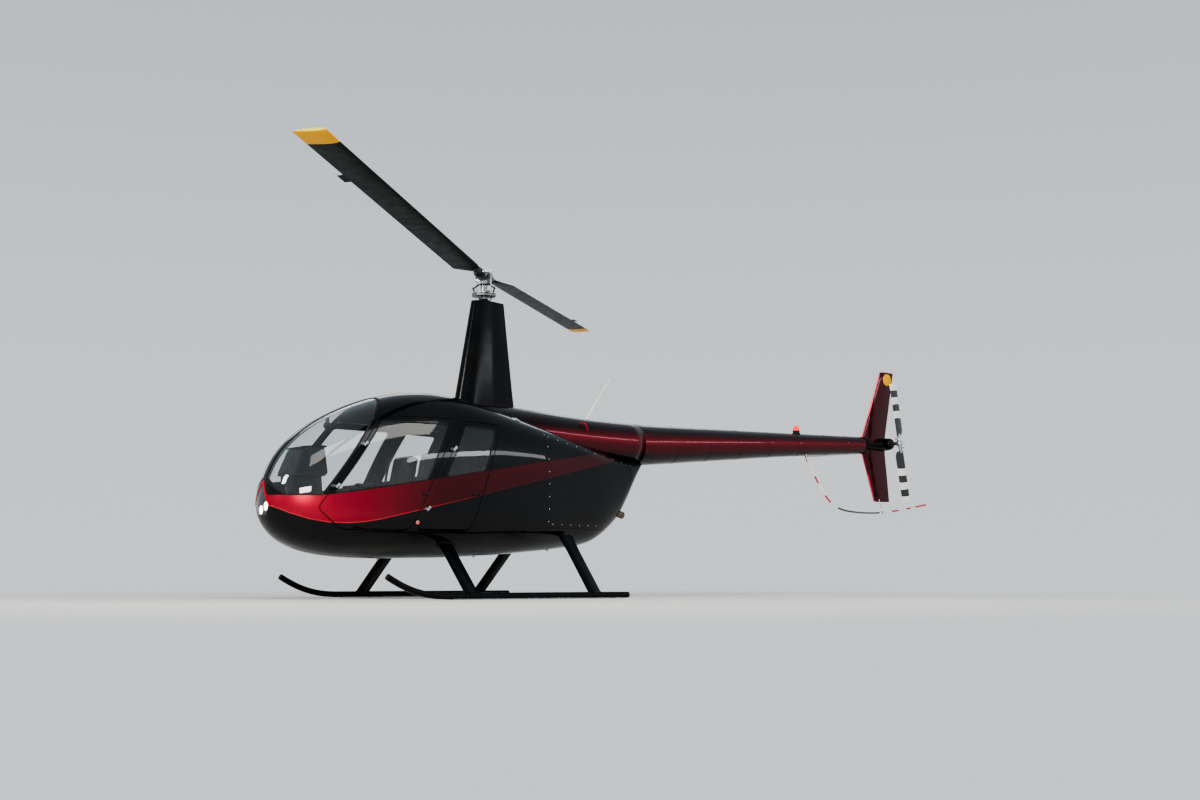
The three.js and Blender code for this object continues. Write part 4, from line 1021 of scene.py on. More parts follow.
def build_doors():
    """Four doors: a curved panel, its pane, its seal, its handle and its hinge halves."""
    wall = cut(surface("outer"), surface("space"))
    panes = cut(surface("glass_outer"), surface("glass_inner"))
    seal_skin = cut(fuselage(-0.012), fuselage(-0.03))
    doors = [
        ("front", FRONT_DOOR, FRONT_WINDOW, 0.654, FRONT_HINGES, (1.02, 0.985)),
        ("rear", REAR_DOOR, REAR_WINDOW, 0.664, REAR_HINGES, (0.452, 1.0)),
    ]
    for name, hole, window, sill, line, handle in doors:
        body = f"{name}_door_"

        def leaf(gap, corner=DOOR_CORNER - DOOR_GAP, sill=sill, hole=hole):
            outline = [(x, max(z, sill + gap - DOOR_GAP)) for x, z in offset(hole, -gap)]
            return prism(outline, 0.2, 0.8, corner=corner)

        def opening(gap, corner=WINDOW_CORNER, window=window):
            return prism(offset(window, -gap), 0.2, 0.8, corner=corner)

        panel = cut(common(wall, leaf(DOOR_GAP)), prism(window, 0.2, 0.8, corner=WINDOW_CORNER))
        pair(f"{name}_door_panel", panel, "body", body, replaces=body, guides=guides_for("outer", "space"),
             inner="liner", slot="black_paint")
        pane = common(panes, opening(0.0005))
        pair(f"{name}_door_pane", pane, "glass", body, replaces=f"{name}_door_glass_",
             guides=guides_for("glass_outer", "glass_inner"), slot="clear_glass")
        rim = cut(opening(0.0006), opening(0.01, WINDOW_CORNER - 0.009))
        bead = common(cut(surface("outer"), fuselage(-0.0048)), rim)
        pair(f"{name}_window_bead", bead, "rubber", body, guides=guides_for("outer"))
        lip = cut(leaf(DOOR_GAP - 0.0035, DOOR_CORNER - 0.005), leaf(DOOR_GAP + 0.0002))
        pair(f"{name}_door_seal", common(seal_skin, lip), "rubber", body)
        halves = [hinge_half(line, h, 1, 0.001) for h in line["heights"]]
        pair(f"{name}_door_hinges", join(*halves), "anodised", body, slot="bare_metal")
        place, normal = side_spot(*handle)
        turn = slide(place) @ pointing(normal, "X")
        lever = join(lathe([(0.016, -0.002), (0.016, 0.003), (0.014, 0.005)], count=28),
            moved(block((-0.006, -0.008, 0.004), (0.064, 0.008, 0.013), 0.003), rotate("Z", 90)),
            lathe([(0.006, 0.0), (0.006, 0.015), (0.0045, 0.0165)], count=16))
        pair(f"{name}_door_handle", moved(lever, turn), "darkmetal", body, slot="bare_metal")
        inside = place - normal * (WALL + 0.001)
        bars = [((-0.09, 0, 0.05), (-0.09, -0.03, 0.05), 0.006),
            ((-0.24, 0.004, 0.07), (-0.24, -0.03, 0.07), 0.006),
            ((-0.085, -0.028, 0.049), (-0.245, -0.028, 0.071), 0.008)]
        pull = join(*[rod(inside + Vector(a), inside + Vector(b), radius) for a, b, radius in bars])
        pair(f"{name}_door_pull", pull, "abs", body)


def build_cowls():
    """Rear skins: deck, belly, the two side cowls and the round fairing that runs into the boom."""
    rear = block((-3, -2, -1), (CABIN_REAR - 0.0015, 2, 4), 0.0005, 1)
    skin = cut(common(surface("outer"), rear), common(surface("cowl_inner"),
        block((-1.7, -2, -1), (CABIN_REAR + 0.05, 2, 4), 0.0005, 1)))
    deck = [(-1.99, 1.405), (-1.99, 2.1), (-0.4, 2.1), (-0.4, 1.69)]
    look = {"guides": guides_for("outer", "cowl_inner"), "inner": "abs", "slot": "black_paint"}
    piece("deck_skin", common(skin, prism(offset(deck, -0.0012), -0.9, 0.9)), "body",
          replaces="deck_cowl", **look)
    floor = 0.7
    low = block((-2.1, -0.9, 0), (0, 0.9, floor - 0.0012), 0.0005, 1)
    piece("belly_skin", common(skin, low), "body", replaces="belly_cowl", **look)
    side = cut(skin, prism(deck, -0.9, 0.9), block((-2.1, -0.9, 0), (0, 0.9, floor + 0.0012), 0.0005, 1))
    side = common(side, block((-3, 0.0012, -1), (1, 2, 4), 0.0005, 1))
    pair("side_cowl_skin", side, "body", replaces="side_cowl_", **look)
    crown = cut(round_body(CROWN), fuselage(SKIN_GAP))
    piece("upper_fairing_skin", crown, "boom", replaces="upper_fairing", slot="maroon_paint",
          guides=[guide(round_body(CROWN))])


def build_mast_fairing():
    """Tapered fairing round the mast, with a rubber bead along its foot."""
    rows = [(1.78, 0.372, 0.78, 0.25), (2.05, 0.318, 0.678, 0.23), (3.016, 0.142, 0.384, 0.15)]
    rows = smooth_rows(rows, 6)
    body = wing([((nose, 0, z), chord, thick, (-1, 0, 0), (0, 1, 0)) for z, nose, chord, thick in rows])
    body = cut(body, fuselage(SKIN_GAP), round_body(CROWN, SKIN_GAP))
    piece("mast_fairing_skin", body, "black", replaces="mast_fairing", slot="black_paint", angle=WING_ANGLE)
    crown = guide(round_body(CROWN))["tree"]
    nose, chord, thick = (read_off(rows, 1.95, k) for k in (1, 2, 3))
    share, half = aerofoil(26)
    ring = [(nose - chord * s, thick * t) for s, t in zip(share, half)]
    ring += [(x, -y) for x, y in ring[-2:0:-1]]
    bead = []
    for x, y in ring:
        spot = on_skin((x, y, 3), (0, 0, -1))
        round_top = crown.ray_cast(Vector((x, y, 3)), Vector((0, 0, -1)))[0]
        bead.append((x, y, max(p.z for p in (spot[0] if spot else None, round_top) if p) + 0.002))
    pipe("mast_fairing_bead", bead, 0.006, "rubber", sides=10, closed=True)


def build_boom():
    """Tapered boom of lapped sheets, with its joint rings, rivets and end fitting."""
    piece("boom_skin", round_body(BOOM, steps=24), "boom", replaces="tail_boom", slot="maroon_paint",
          guides=[guide(round_body(BOOM, steps=24))])
    rows = smooth_rows(BOOM, 24)

    def at(x, angle):
        way = Vector((0, math.cos(angle), math.sin(angle)))
        return Vector((x, 0, read_off(rows, x, 1))) + way * (read_off(rows, x, 2) + 0.0002), way

    rings = [-1.975, -2.45, -2.93, -3.41, -3.89, -4.37, -4.85, -5.2, -5.495]
    spots = []
    for x in rings:
        count = int(round(2 * math.pi * at(x, 0)[0].y / 0.03))
        for side in (-0.011, 0.011):
            spots += [at(x + side, 2 * math.pi * k / count) for k in range(count)]
    lap = np.arange(-5.47, -1.98, 0.03)
    spots += [at(float(x), math.radians(-62)) for x in lap] + [at(float(x), math.radians(-118)) for x in lap]
    heads("boom_rivets", spots, "boom", radius=0.0042, height=0.0016, sides=8)
    joints = []
    for x in rings[1:-1]:
        centre, reach = read_off(rows, x, 1), at(x, 0)[0].y
        strap = [(reach - 0.002, -0.02), (reach + 0.0006, -0.019), (reach + 0.0006, 0.019),
            (reach - 0.002, 0.02)]
        joints.append(lathe(strap, (x, 0, centre), (1, 0, 0), 64))
    piece("boom_joint_straps", join(*joints), "boom", slot="maroon_paint")
    reach = BOOM[0][2]
    end = lathe([(0.02, -0.012), (reach + 0.002, -0.012), (reach + 0.003, -0.008), (reach + 0.003, 0.026),
        (reach, 0.03), (0.02, 0.03)], (BOOM[0][0], 0, BOOM[0][1]), (1, 0, 0), 64)
    end = cut(end, block((BOOM[0][0] - 0.05, -0.024, 1.6), (BOOM[0][0] - 0.0002, 0.024, 2.0), 0.001, 1))
    piece("boom_end_ring", end, "black", slot="bare_metal")


def edge_mark(item, width=0.012):
    """Marks the points near a fin's leading edge, so that the paint finds them."""
    mesh = item.data
    points = shape_from(mesh)[0]
    across = 2 if np.ptp(points[:, 2]) > np.ptp(points[:, 1]) else 1
    order = np.round(points[:, across], 4)
    values = np.zeros(len(points), np.float32)
    for level in np.unique(order):
        row = order == level
        values[row] = points[row, 0] > points[row, 0].max() - width
    mesh.attributes.new("edge", "FLOAT", "POINT").data.foreach_set("value", values)


def build_fins():
    """Swept fins above and below the boom's end, and the stabiliser on the right."""
    root, joint_z = BOOM[0][0] - 0.0004, 1.802

    def fin(rows, **ends):
        table = smooth_rows(rows, 5)
        return wing([((nose, 0, z), nose - tail, thick, (-1, 0, 0), (0, 1, 0))
            for z, nose, tail, thick in table], **ends)

    upper = fin([(joint_z + 0.0004, root, -5.93, 0.046), (1.905, root, -5.932, 0.046),
        (2.32, -5.695, -6.016, 0.036), (2.727, -5.86, -6.098, 0.026)], tip=0.008)
    lower = fin([(joint_z, root, -5.93, 0.046), (1.7, root, -5.928, 0.046), (1.42, -5.612, -5.96, 0.036),
        (1.128, -5.71, -5.99, 0.024)], tip=0.008)
    look = {"slot": "maroon_paint", "angle": WING_ANGLE}
    edge_mark(piece("upper_fin_skin", upper, "fin", replaces="upper_fin", **look))
    edge_mark(piece("lower_fin_skin", lower, "fin", replaces="lower_fin", **look))
    rows = smooth_rows([(-0.024, -5.545, -5.868, 1.735, 0.038), (-0.6, -5.599, -5.897, 1.7415, 0.032),
        (-1.142, -5.649, -5.924, 1.748, 0.026)], 5)
    shelf = wing([((nose, y, z), nose - tail, thick, (-1, 0, 0), (0, 0, 1))
        for y, nose, tail, z, thick in rows], tip=0.008)
    edge_mark(piece("stabiliser_skin", shelf, "fin", replaces="stabiliser", **look))
    disc = lathe([(0.07, 0.0), (0.072, 0.001), (0.072, 0.0022), (0.07, 0.003)], (-5.975, 0.0132, 2.64),
        (0, 1, 0), 48)
    pair("fin_disc", disc, "yellow")
    ribs = []
    for side in (1, -1):
        for z0, z1, x0, x1 in ((1.95, 2.68, -5.57, -5.86), (1.66, 1.16, -5.56, -5.72)):
            for share in [k / 23 for k in range(24)]:
                x, z, thick = x0 + (x1 - x0) * share - 0.085, z0 + (z1 - z0) * share, 0.023 - 0.01 * share
                ribs.append((Vector((x, side * (thick - 0.0006), z)), Vector((0, side, 0))))
    heads("fin_rivets", ribs, "fin", radius=0.004, height=0.0022, sides=8)


def build_gear():
    """Skid tubes with raised toes, wear shoes and end plugs, and the streamlined struts."""
    toe_start, bend = 1.06, [(1.33, SKID_LIFT), (1.5, 0.095), (1.7, 0.212)]
    straight = [(-1.04 + k * 0.1, SKID_LIFT) for k in range(21)]
    curve_points = [(toe_start, SKID_LIFT), *bend]
    toe = []
    for t in np.linspace(0, 1, 25):
        shares = [(1 - t) ** 3, 3 * t * (1 - t) ** 2, 3 * t * t * (1 - t), t ** 3]
        toe.append(tuple(sum(s * p[i] for s, p in zip(shares, curve_points)) for i in (0, 1)))
    path = straight + toe
    struts = [("front", (0.8, SKID_LIFT), (0.745, 0.44, 0.56)),
        ("rear", (-0.63, SKID_LIFT), (-0.712, 0.44, 0.62))]
    chord, thick = 0.15, 0.052
    for side, name in ((1, "left"), (-1, "right")):
        y = side * SKID_Y
        pipe(f"skid_tube_{name}", [(x, y, z) for x, z in path], SKID_RADIUS, "black", sides=28,
             replaces=f"skid_{name}", slot="black_paint")
        shoe = [block((-0.96, y - 0.016, 0.0), (1.02, y + 0.016, 0.01), 0.002)]
        shoe += [block((x - 0.03, y - 0.0175, 0.0), (x + 0.03, y + 0.0175, 0.013), 0.003)
            for x in (-0.9, -0.3, 0.3, 0.95)]
        piece(f"skid_shoe_{name}", join(*shoe), "steel")
        rear_plug = [(0.0, -0.006), (0.022, -0.005), (0.0295, -0.001), (0.0295, 0.002)]
        front_plug = [(0.0295, -0.002), (0.0295, 0.001), (0.022, 0.005), (0.0, 0.006)]
        (x0, z0), (x1, z1) = path[-2:]
        plugs = [lathe(rear_plug, (-1.04, y, SKID_LIFT), (1, 0, 0)),
                 lathe(front_plug, (x1, y, z1), Vector((x1 - x0, 0, z1 - z0)).normalized())]
        piece(f"skid_plugs_{name}", join(*plugs), "rubber")
    for name, (foot_x, foot_z), top in struts:
        foot = Vector((foot_x, SKID_Y, foot_z))
        along = Vector((-1, 0, 0))
        across = along.cross((Vector(top) - foot).normalized()).normalized()
        rows = []
        for share in np.linspace(0, 1, 13):
            p = foot.lerp(Vector(top), float(share))
            swell = 1 + 0.5 * max(0.0, float(share) - 0.75)
            rows.append(((p.x + chord * 0.4 * swell, p.y, p.z), chord * swell, thick * swell, along, across))
        tube_ends = (foot_x - 0.3, SKID_Y, SKID_LIFT), (foot_x + 0.3, SKID_Y, SKID_LIFT)
        strut = cut(wing(rows), fuselage(SKIN_GAP), rod(*tube_ends, SKID_RADIUS + 0.0005, count=32))
        pair(f"{name}_strut_fairing", biggest(strut), "black", replaces=f"{name}_strut_", slot="black_paint",
             angle=WING_ANGLE)
        saddle = lathe([(SKID_RADIUS + 0.0006, -0.055), (SKID_RADIUS + 0.006, -0.052),
            (SKID_RADIUS + 0.006, 0.052), (SKID_RADIUS + 0.0006, 0.055)],
            (foot_x - 0.015, SKID_Y, SKID_LIFT), (1, 0, 0), 32)
        saddle = cut(saddle, rod(*tube_ends, SKID_RADIUS + 0.0004, count=32),
            block((-2, 0.5, -0.1), (2, 1.5, SKID_LIFT - 0.012), 0.001, 1))
        pair(f"{name}_strut_saddle", biggest(saddle), "black")
        collar = common(cut(fuselage(0.01), fuselage(0.0009)),
            wing([((row[0][0] + 0.022, *row[0][1:]), row[1] + 0.044, row[2] + 0.036, row[3], row[4])
                for row in rows[7:]]))
        pair(f"{name}_strut_collar", biggest(collar), "rubber")


def biggest(shape):
    """The largest of a shape's separate bodies."""
    points, faces = shape
    parent = list(range(len(points)))

    def root(i):
        while parent[i] != i:
            parent[i] = parent[parent[i]]
            i = parent[i]
        return i

    for face in faces:
        for i in face[1:]:
            parent[root(i)] = root(face[0])
    groups = {}
    for face in faces:
        groups.setdefault(root(face[0]), []).append(face)
    if len(groups) < 2:
        return shape

    def size(group):
        used = points[sorted({i for face in group for i in face})]
        return float(np.prod(np.ptp(used, axis=0) + 1e-6))

    best = max(groups.values(), key=size)
    used = sorted({i for face in best for i in face})
    new = {old: k for k, old in enumerate(used)}
    return points[used], [[new[i] for i in face] for face in best]


def pad_mesh(blank, swell=4.0, cap=0.01):
    """A stuffed form: a blank that is remeshed, blown up as cloth and held to a largest move."""
    item = linked("pad", mesh_of("pad", *blank))
    remesh = item.modifiers.new("even", "REMESH")
    remesh.mode, remesh.voxel_size = "VOXEL", 0.009
    item.data = evaluated(item)
    item.modifiers.remove(remesh)
    rest = shape_from(item.data)[0]
    cloth = item.modifiers.new("stuffing", "CLOTH")
    cloth.settings.use_pressure = True
    cloth.settings.uniform_pressure_force = swell
    cloth.settings.effector_weights.gravity = 0
    cloth.settings.quality = 4
    scene = bpy.context.scene
    for number in range(1, 21):
        scene.frame_set(number)
    item.data = evaluated(item)
    item.modifiers.remove(cloth)
    scene.frame_set(1)
    points, faces = shape_from(item.data)
    bpy.data.objects.remove(item)
    move = points - rest
    length = np.linalg.norm(move, axis=1, keepdims=True) + 1e-9
    return rest + move * np.minimum(1, cap / length), faces


def crown_pad(size, crown):
    """A cushion blank: a block with a crowned top and pulled-in corners, centred on its foot."""
    across, along, thick = size
    mesh = bmesh.new()
    bmesh.ops.create_cube(mesh, size=1)
    bmesh.ops.subdivide_edges(mesh, edges=mesh.edges[:], cuts=14, use_grid_fill=True)
    for v in mesh.verts:
        u, w, h = v.co.x * 2, v.co.y * 2, v.co.z + 0.5
        edge = (abs(u) ** 6 + abs(w) ** 6) ** (1 / 6)
        pull = 1 - 0.035 * (u * w) ** 2 - 0.02 * (2 * h - 1) ** 2
        top = thick * h * (1 - 0.1 * edge ** 4) + crown * h * max(0.0, (1 - u * u)) * max(0.0, (1 - w * w))
        v.co = Vector((u * across / 2 * pull, w * along / 2 * pull, top))
    mesh.verts.index_update()
    shape = shape_of([v.co for v in mesh.verts], [[v.index for v in f.verts] for f in mesh.faces])
    mesh.free()
    return shape


def sew(shape, lines, axis, depth, width=0.006):
    """Presses seams into the upper side of a pad at places on one axis."""
    points = shape[0].copy()
    middle = points[:, 2].mean()
    for place in lines:
        press = depth * np.exp(-((points[:, axis] - place) / width) ** 2)
        upper = points[:, 2] > middle
        points[upper, 2] -= press[upper]
    return points, shape[1]


def build_seats():
    """Four seats, each a stuffed cushion and back in hide with sewn channels and red piping."""
    base = pad_mesh(crown_pad((0.408, 0.395, 0.086), 0.008))
    back = pad_mesh(crown_pad((0.408, 0.505, 0.07), 0.006))
    base = sew(base, (-0.13, 0.13), 0, 0.008)
    base = sew(base, (-0.1, 0.04), 1, 0.005)
    back = sew(back, (-0.13, 0.13), 0, 0.007)
    back = sew(back, (-0.12, 0.0, 0.12), 1, 0.005)
    for row, reach, top in (("front", 1.32, 0.8), ("rear", 0.32, 0.85)):
        for side, name in ((1, "left"), (-1, "right")):
            y = side * SEAT_Y
            lie = slide((reach - 0.208, y, top + 0.002)) @ rotate("Z", 90) @ rotate("X", 3)
            lean = math.atan2(0.535, -0.11)
            foot = Vector((reach - 0.424, y, top + 0.11))
            along = Vector((math.cos(lean), 0, math.sin(lean)))
            across = Vector((0, 1, 0))
            ahead = across.cross(along)
            rest = Matrix((across, along, ahead)).transposed().to_4x4()
            rest.translation = foot + along * 0.262 - ahead * 0.088
            cushion = piece(f"{row}_cushion_{name}", moved(base, lie), "seat", replaces=f"{row}_seat_{name}",
                slot="seat_leather", angle=60)
            upright = piece(f"{row}_backrest_{name}", moved(back, rest), "seat",
                replaces=f"{row}_seat_{name}", slot="seat_leather", angle=60)
            for label, matrix, size, level in (("cushion", lie, (0.196, 0.19), 0.07),
                    ("backrest", rest, (0.196, 0.244), 0.056)):
                ring = rounded([(-size[0], -size[1]), (size[0], -size[1]), (size[0], size[1]),
                    (-size[0], size[1])], 0.05)
                loop = [matrix @ Vector((p[0], p[1], level)) for p in ring]
                pipe(f"{row}_{label}_piping_{name}", loop, 0.004, "piping", sides=8, closed=True)
            belt(row, name, reach, y, top)


def belt(row, name, reach, y, top):
    """A lap and shoulder harness lying over a seat, with its buckle."""
    side = 1 if y > 0 else -1

    def strap(label, path, width=0.046, thick=0.0022):
        run = smooth_rows(path, 6)
        rings = []
        for k, p in enumerate(run):
            way = run[min(k + 1, len(run) - 1)] - run[max(k - 1, 0)]
            way = way / np.linalg.norm(way)
            out = np.array((0.35, 0, 0.94)) if label == "lap" else np.array((0.98, 0, 0.2))
            across = np.cross(way, out)
            across /= np.linalg.norm(across)
            up = np.cross(across, way)
            corners = [(-1, -1), (1, -1), (1, 1), (-1, 1)]
            rings.append([p + across * width / 2 * a + up * thick / 2 * b for a, b in corners])
        return loft(rings)

    lap = strap("lap", [(reach - 0.395, y - 0.215, top + 0.1), (reach - 0.36, y - 0.18, top + 0.135),
        (reach - 0.27, y - 0.06, top + 0.137), (reach - 0.26, y + 0.07, top + 0.138),
        (reach - 0.34, y + 0.18, top + 0.134), (reach - 0.395, y + 0.215, top + 0.1)])
    shoulder = strap("shoulder", [(reach - 0.385, y + side * 0.12, top + 0.16),
        (reach - 0.405, y + side * 0.12, top + 0.3), (reach - 0.45, y + side * 0.13, top + 0.5),
        (reach - 0.505, y + side * 0.14, top + 0.62)])
    piece(f"{row}_harness_{name}", join(lap, shoulder), "webbing", angle=50)
    buckle = moved(block((-0.03, -0.024, -0.007), (0.03, 0.024, 0.009), 0.004),
        slide((reach - 0.262, y, top + 0.141)))
    piece(f"{row}_buckle_{name}", buckle, "anodised")


def build_console():
    """Instrument pedestal: a hooded panel with dials, a radio stack and its switches."""
    side = [(1.83, 0.561), (1.88, 1.15), (1.85, 1.18), (1.89, 1.42), (2.08, 1.405), (2.18, 1.18),
        (2.17, 0.561)]
    wide = cut(prism(side, -0.188, 0.188, corner=0.02), block((1.7, -0.4, 0.0), (2.3, -0.12, 1.15), 0.012),
        block((1.7, 0.12, 0.0), (2.3, 0.4, 1.15), 0.012))
    wide = common(wide, surface("fit"))
    piece("console_body", wide, "abs", replaces="console", slot="cabin_trim")
    lean = math.atan2(0.24, 0.04)
    up = Vector((math.cos(lean), 0, math.sin(lean)))
    out = Vector((-math.sin(lean), 0, math.cos(lean)))
    foot = Vector((1.85, 0, 1.18))
    dials = [(-0.125, 0.175), (0.0, 0.175), (0.125, 0.175), (-0.125, 0.075), (0.0, 0.075), (0.125, 0.075)]
    centres = [foot + Vector((0, y, 0)) + up * h for y, h in dials]
    rims, faces, hands = [], [], []
    for k, c in enumerate(centres):
        rims.append(lathe([(0.046, -0.004), (0.046, 0.006), (0.041, 0.009), (0.037, 0.006), (0.037, -0.003)],
            c, out, 36))
        faces.append(lathe([(0.037, -0.002), (0.037, 0.0022)], c, out, 36))
        spin = slide(c + out * 0.003) @ pointing(out) @ rotate("Z", 40 + 55 * k)
        hands.append(moved(block((-0.006, -0.0013, 0.0), (0.026, 0.0013, 0.001), 0.0004, 1), spin))
    piece("dial_rims", join(*rims), "abs")
    piece("dial_faces", join(*faces), "dial")
    piece("dial_hands", join(*hands), "white")
    grown("dial_marks", "dials", [c + out * 0.0028 for c in centres], [],
          [("facing", "FLOAT_VECTOR", [tuple(out)] * len(centres))], {"Marks": 12, "Dial Radius": 0.03},
          "white", "airframe")
    low = Vector((1.83, 0, 0.561))
    rise = (Vector((1.88, 0, 1.15)) - low).normalized()
    face = Vector((-rise.z, 0, rise.x))
    stack, knobs = [], []
    turn = pointing(face)
    for k in range(4):
        c = low + rise * (0.3 + 0.062 * k)
        stack.append(moved(block((-0.08, -0.026, -0.003), (0.08, 0.026, 0.006), 0.003), slide(c) @ turn))
        for y in (-0.066, 0.066):
            knobs.append(lathe([(0.01, 0.0), (0.009, 0.016), (0.007, 0.018)],
                c + Vector((0, y, 0)) + face * 0.005, face, 18))
        stack.append(moved(block((-0.045, -0.012, 0.004), (0.045, 0.012, 0.0075), 0.001, 1),
            slide(c) @ turn))
    for k in range(8):
        knobs.append(lathe([(0.004, 0.0), (0.003, 0.012), (0.0025, 0.014)],
            low + rise * 0.21 + Vector((0, -0.077 + 0.022 * k, 0)) + face * 0.001, face, 10))
    piece("radio_stack", join(*stack), "dial")
    piece("radio_knobs", join(*knobs), "anodised")
    hood = prism([(1.862, 1.418), (1.88, 1.436), (2.085, 1.424), (2.09, 1.408)], -0.196, 0.196, corner=0.006)
    piece("panel_hood", hood, "rubber")
    compass = join(lathe([(0.0, -0.034), (0.024, -0.031), (0.036, -0.018), (0.038, 0.0), (0.036, 0.018),
        (0.024, 0.031), (0.0, 0.034)], (1.765, 0, 1.64), (1, 0, 0), 28),
        block((1.745, -0.006, 1.66), (1.785, 0.006, 1.726), 0.002))
    piece("compass", compass, "abs")


def build_controls():
    """Centre stick with its rocking bar and two grips, lift levers, pedals and the floor's finish."""
    pipe("stick_column", [(1.48, 0, 0.563), (1.47, 0, 0.7), (1.44, 0, 0.95), (1.42, 0, 1.08)], 0.019,
         "darkmetal", replaces="control_stick", slot="satin_black")
    pipe("stick_bar", [(1.42, y, 1.08) for y in (-0.3, -0.15, 0, 0.15, 0.3)], 0.013, "darkmetal")
    grips = []
    for side in (-1, 1):
        y = side * 0.29
        grips.append(lathe([(0.0, 0), (0.014, 0.002), (0.018, 0.012), (0.0155, 0.04), (0.0175, 0.065),
            (0.015, 0.09), (0.019, 0.118), (0.016, 0.132), (0.0, 0.136)], (1.404, y, 0.958), (0.11, 0, 1),
            20))
    grips.append(block((1.392, -0.036, 1.06), (1.446, 0.036, 1.104), 0.01))
    piece("stick_grips", join(*grips), "rubber")
    levers = []
    for y in (0.0, 0.5):
        foot, tip = Vector((0.955, y, 0.815)), Vector((1.4, y, 0.955))
        levers += [rod(foot, tip, 0.01), rod(foot.lerp(tip, 0.72), tip + (tip - foot) * 0.02, 0.016, 0.014)]
        levers.append(lathe([(0.034, -0.012), (0.03, 0.01), (0.022, 0.03), (0.013, 0.044)], foot,
            (0.3, 0, 1), 20))
    piece("lift_levers", join(*levers), "rubber")
    pedals = []
    for y in (-0.36, -0.2, 0.2, 0.36):
        pedals.append(moved(block((-0.01, -0.04, -0.055), (0.01, 0.04, 0.055), 0.006),
            slide((1.965, y, 0.68)) @ rotate("Y", -22)))
        pedals.append(rod((1.97, y, 0.64), (2.02, y, 0.562), 0.009))
    piece("foot_pedals", join(*pedals), "darkmetal")
    for node, finish_name in (("cabin_floor", "carpet"), ("engine", "cast")):
        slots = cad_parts[node].data.materials
        slots.clear()
        slots.append(materials[finish_name])


def build_lamps():
    """Nose recess with its two landing lamps, cover and red rim, and the other lights."""
    hole = LAMP_OPENING
    inside = cut(prism(offset(hole, -0.0006), 2.296, 2.6, "yz", 0.03),
        prism(offset(hole, -0.004), 2.3, 2.7, "yz", 0.027))
    recess = common(inside, fuselage(-0.004))
    piece("lamp_recess", biggest(recess), "abs")
    back = common(block((2.284, -0.4, 0.6), (2.2995, 0.4, 1.085), 0.002), surface("fit"))
    piece("lamp_plate", back, "abs", replaces="landing_lamps", slot="bare_metal")
    shells, glasses = [], []
    for y, z in ((-0.048, 0.826), (0.048, 0.858)):
        shells.append(lathe([(0.03, 0.0), (0.034, 0.004), (0.04, 0.09), (0.0455, 0.096), (0.0455, 0.106),
            (0.042, 0.108), (0.039, 0.104), (0.032, 0.07), (0.01, 0.062)], (2.2995, y, z), (1, 0, 0), 36))
        glasses.append(lathe([(0.0405, 0.0), (0.0405, 0.002), (0.03, 0.0075), (0.015, 0.0105),
            (0.0, 0.0115)], (2.4015, y, z), (1, 0, 0), 36))
    piece("lamp_shells", join(*shells), "chrome")
    piece("lamp_glasses", join(*glasses), "lamp")
    cover = common(cut(fuselage(-0.001), fuselage(-0.004)),
        prism(offset(hole, -0.001), 2.26, 2.6, "yz", 0.029))
    piece("lamp_cover", biggest(cover), "glass")
    rim = cut(prism(offset(hole, 0.026), 2.2, 2.7, "yz", 0.045),
        prism(offset(hole, 0.001), 2.1, 2.8, "yz", 0.031))
    rim = cut(rim, block((2.0, -0.4, 0.6), (2.9, 0.4, 0.868), 0.001, 1))
    rim = common(common(cut(fuselage(0.0022), fuselage(0.0003)), rim),
        block((2.26, -0.3, 0.5), (2.7, 0.3, 1.3), 0.001, 1))
    piece("lamp_rim", biggest(rim), "red")
    for side, name, colour in ((1, "left", "redlens"), (-1, "right", "greenlens")):
        place, normal = side_spot(1.122, 0.718, side)
        base = lathe([(0.019, -0.002), (0.019, 0.004), (0.017, 0.006)], place, normal, 28)
        dome = lathe([(0.0155, 0.0055), (0.0145, 0.012), (0.01, 0.017), (0.0, 0.0185)], place, normal, 28)
        piece(f"side_light_base_{name}", base, "anodised")
        piece(f"side_light_{name}", dome, colour, replaces=f"position_light_{name}",
              slot="red_lens" if side > 0 else "green_lens")
    x = -4.415
    rows = smooth_rows(BOOM, 8)
    foot = read_off(rows, x, 1) + read_off(rows, x, 2)
    stand = lathe([(0.05, -0.006), (0.048, 0.006), (0.041, 0.012), (0.041, 1.925 - foot)], (x, 0, foot),
        (0, 0, 1), 36)
    stand = cut(stand, round_body(BOOM, SKIN_GAP, steps=24))
    piece("beacon_base", biggest(stand), "darkmetal")
    dome = lathe([(0.039, 0.0), (0.0385, 0.022), (0.035, 0.04), (0.026, 0.052), (0.012, 0.0585),
        (0.0, 0.06)], (x, 0, 1.9252), (0, 0, 1), 36)
    piece("beacon_dome", dome, "redlens", replaces="beacon", slot="red_lens")


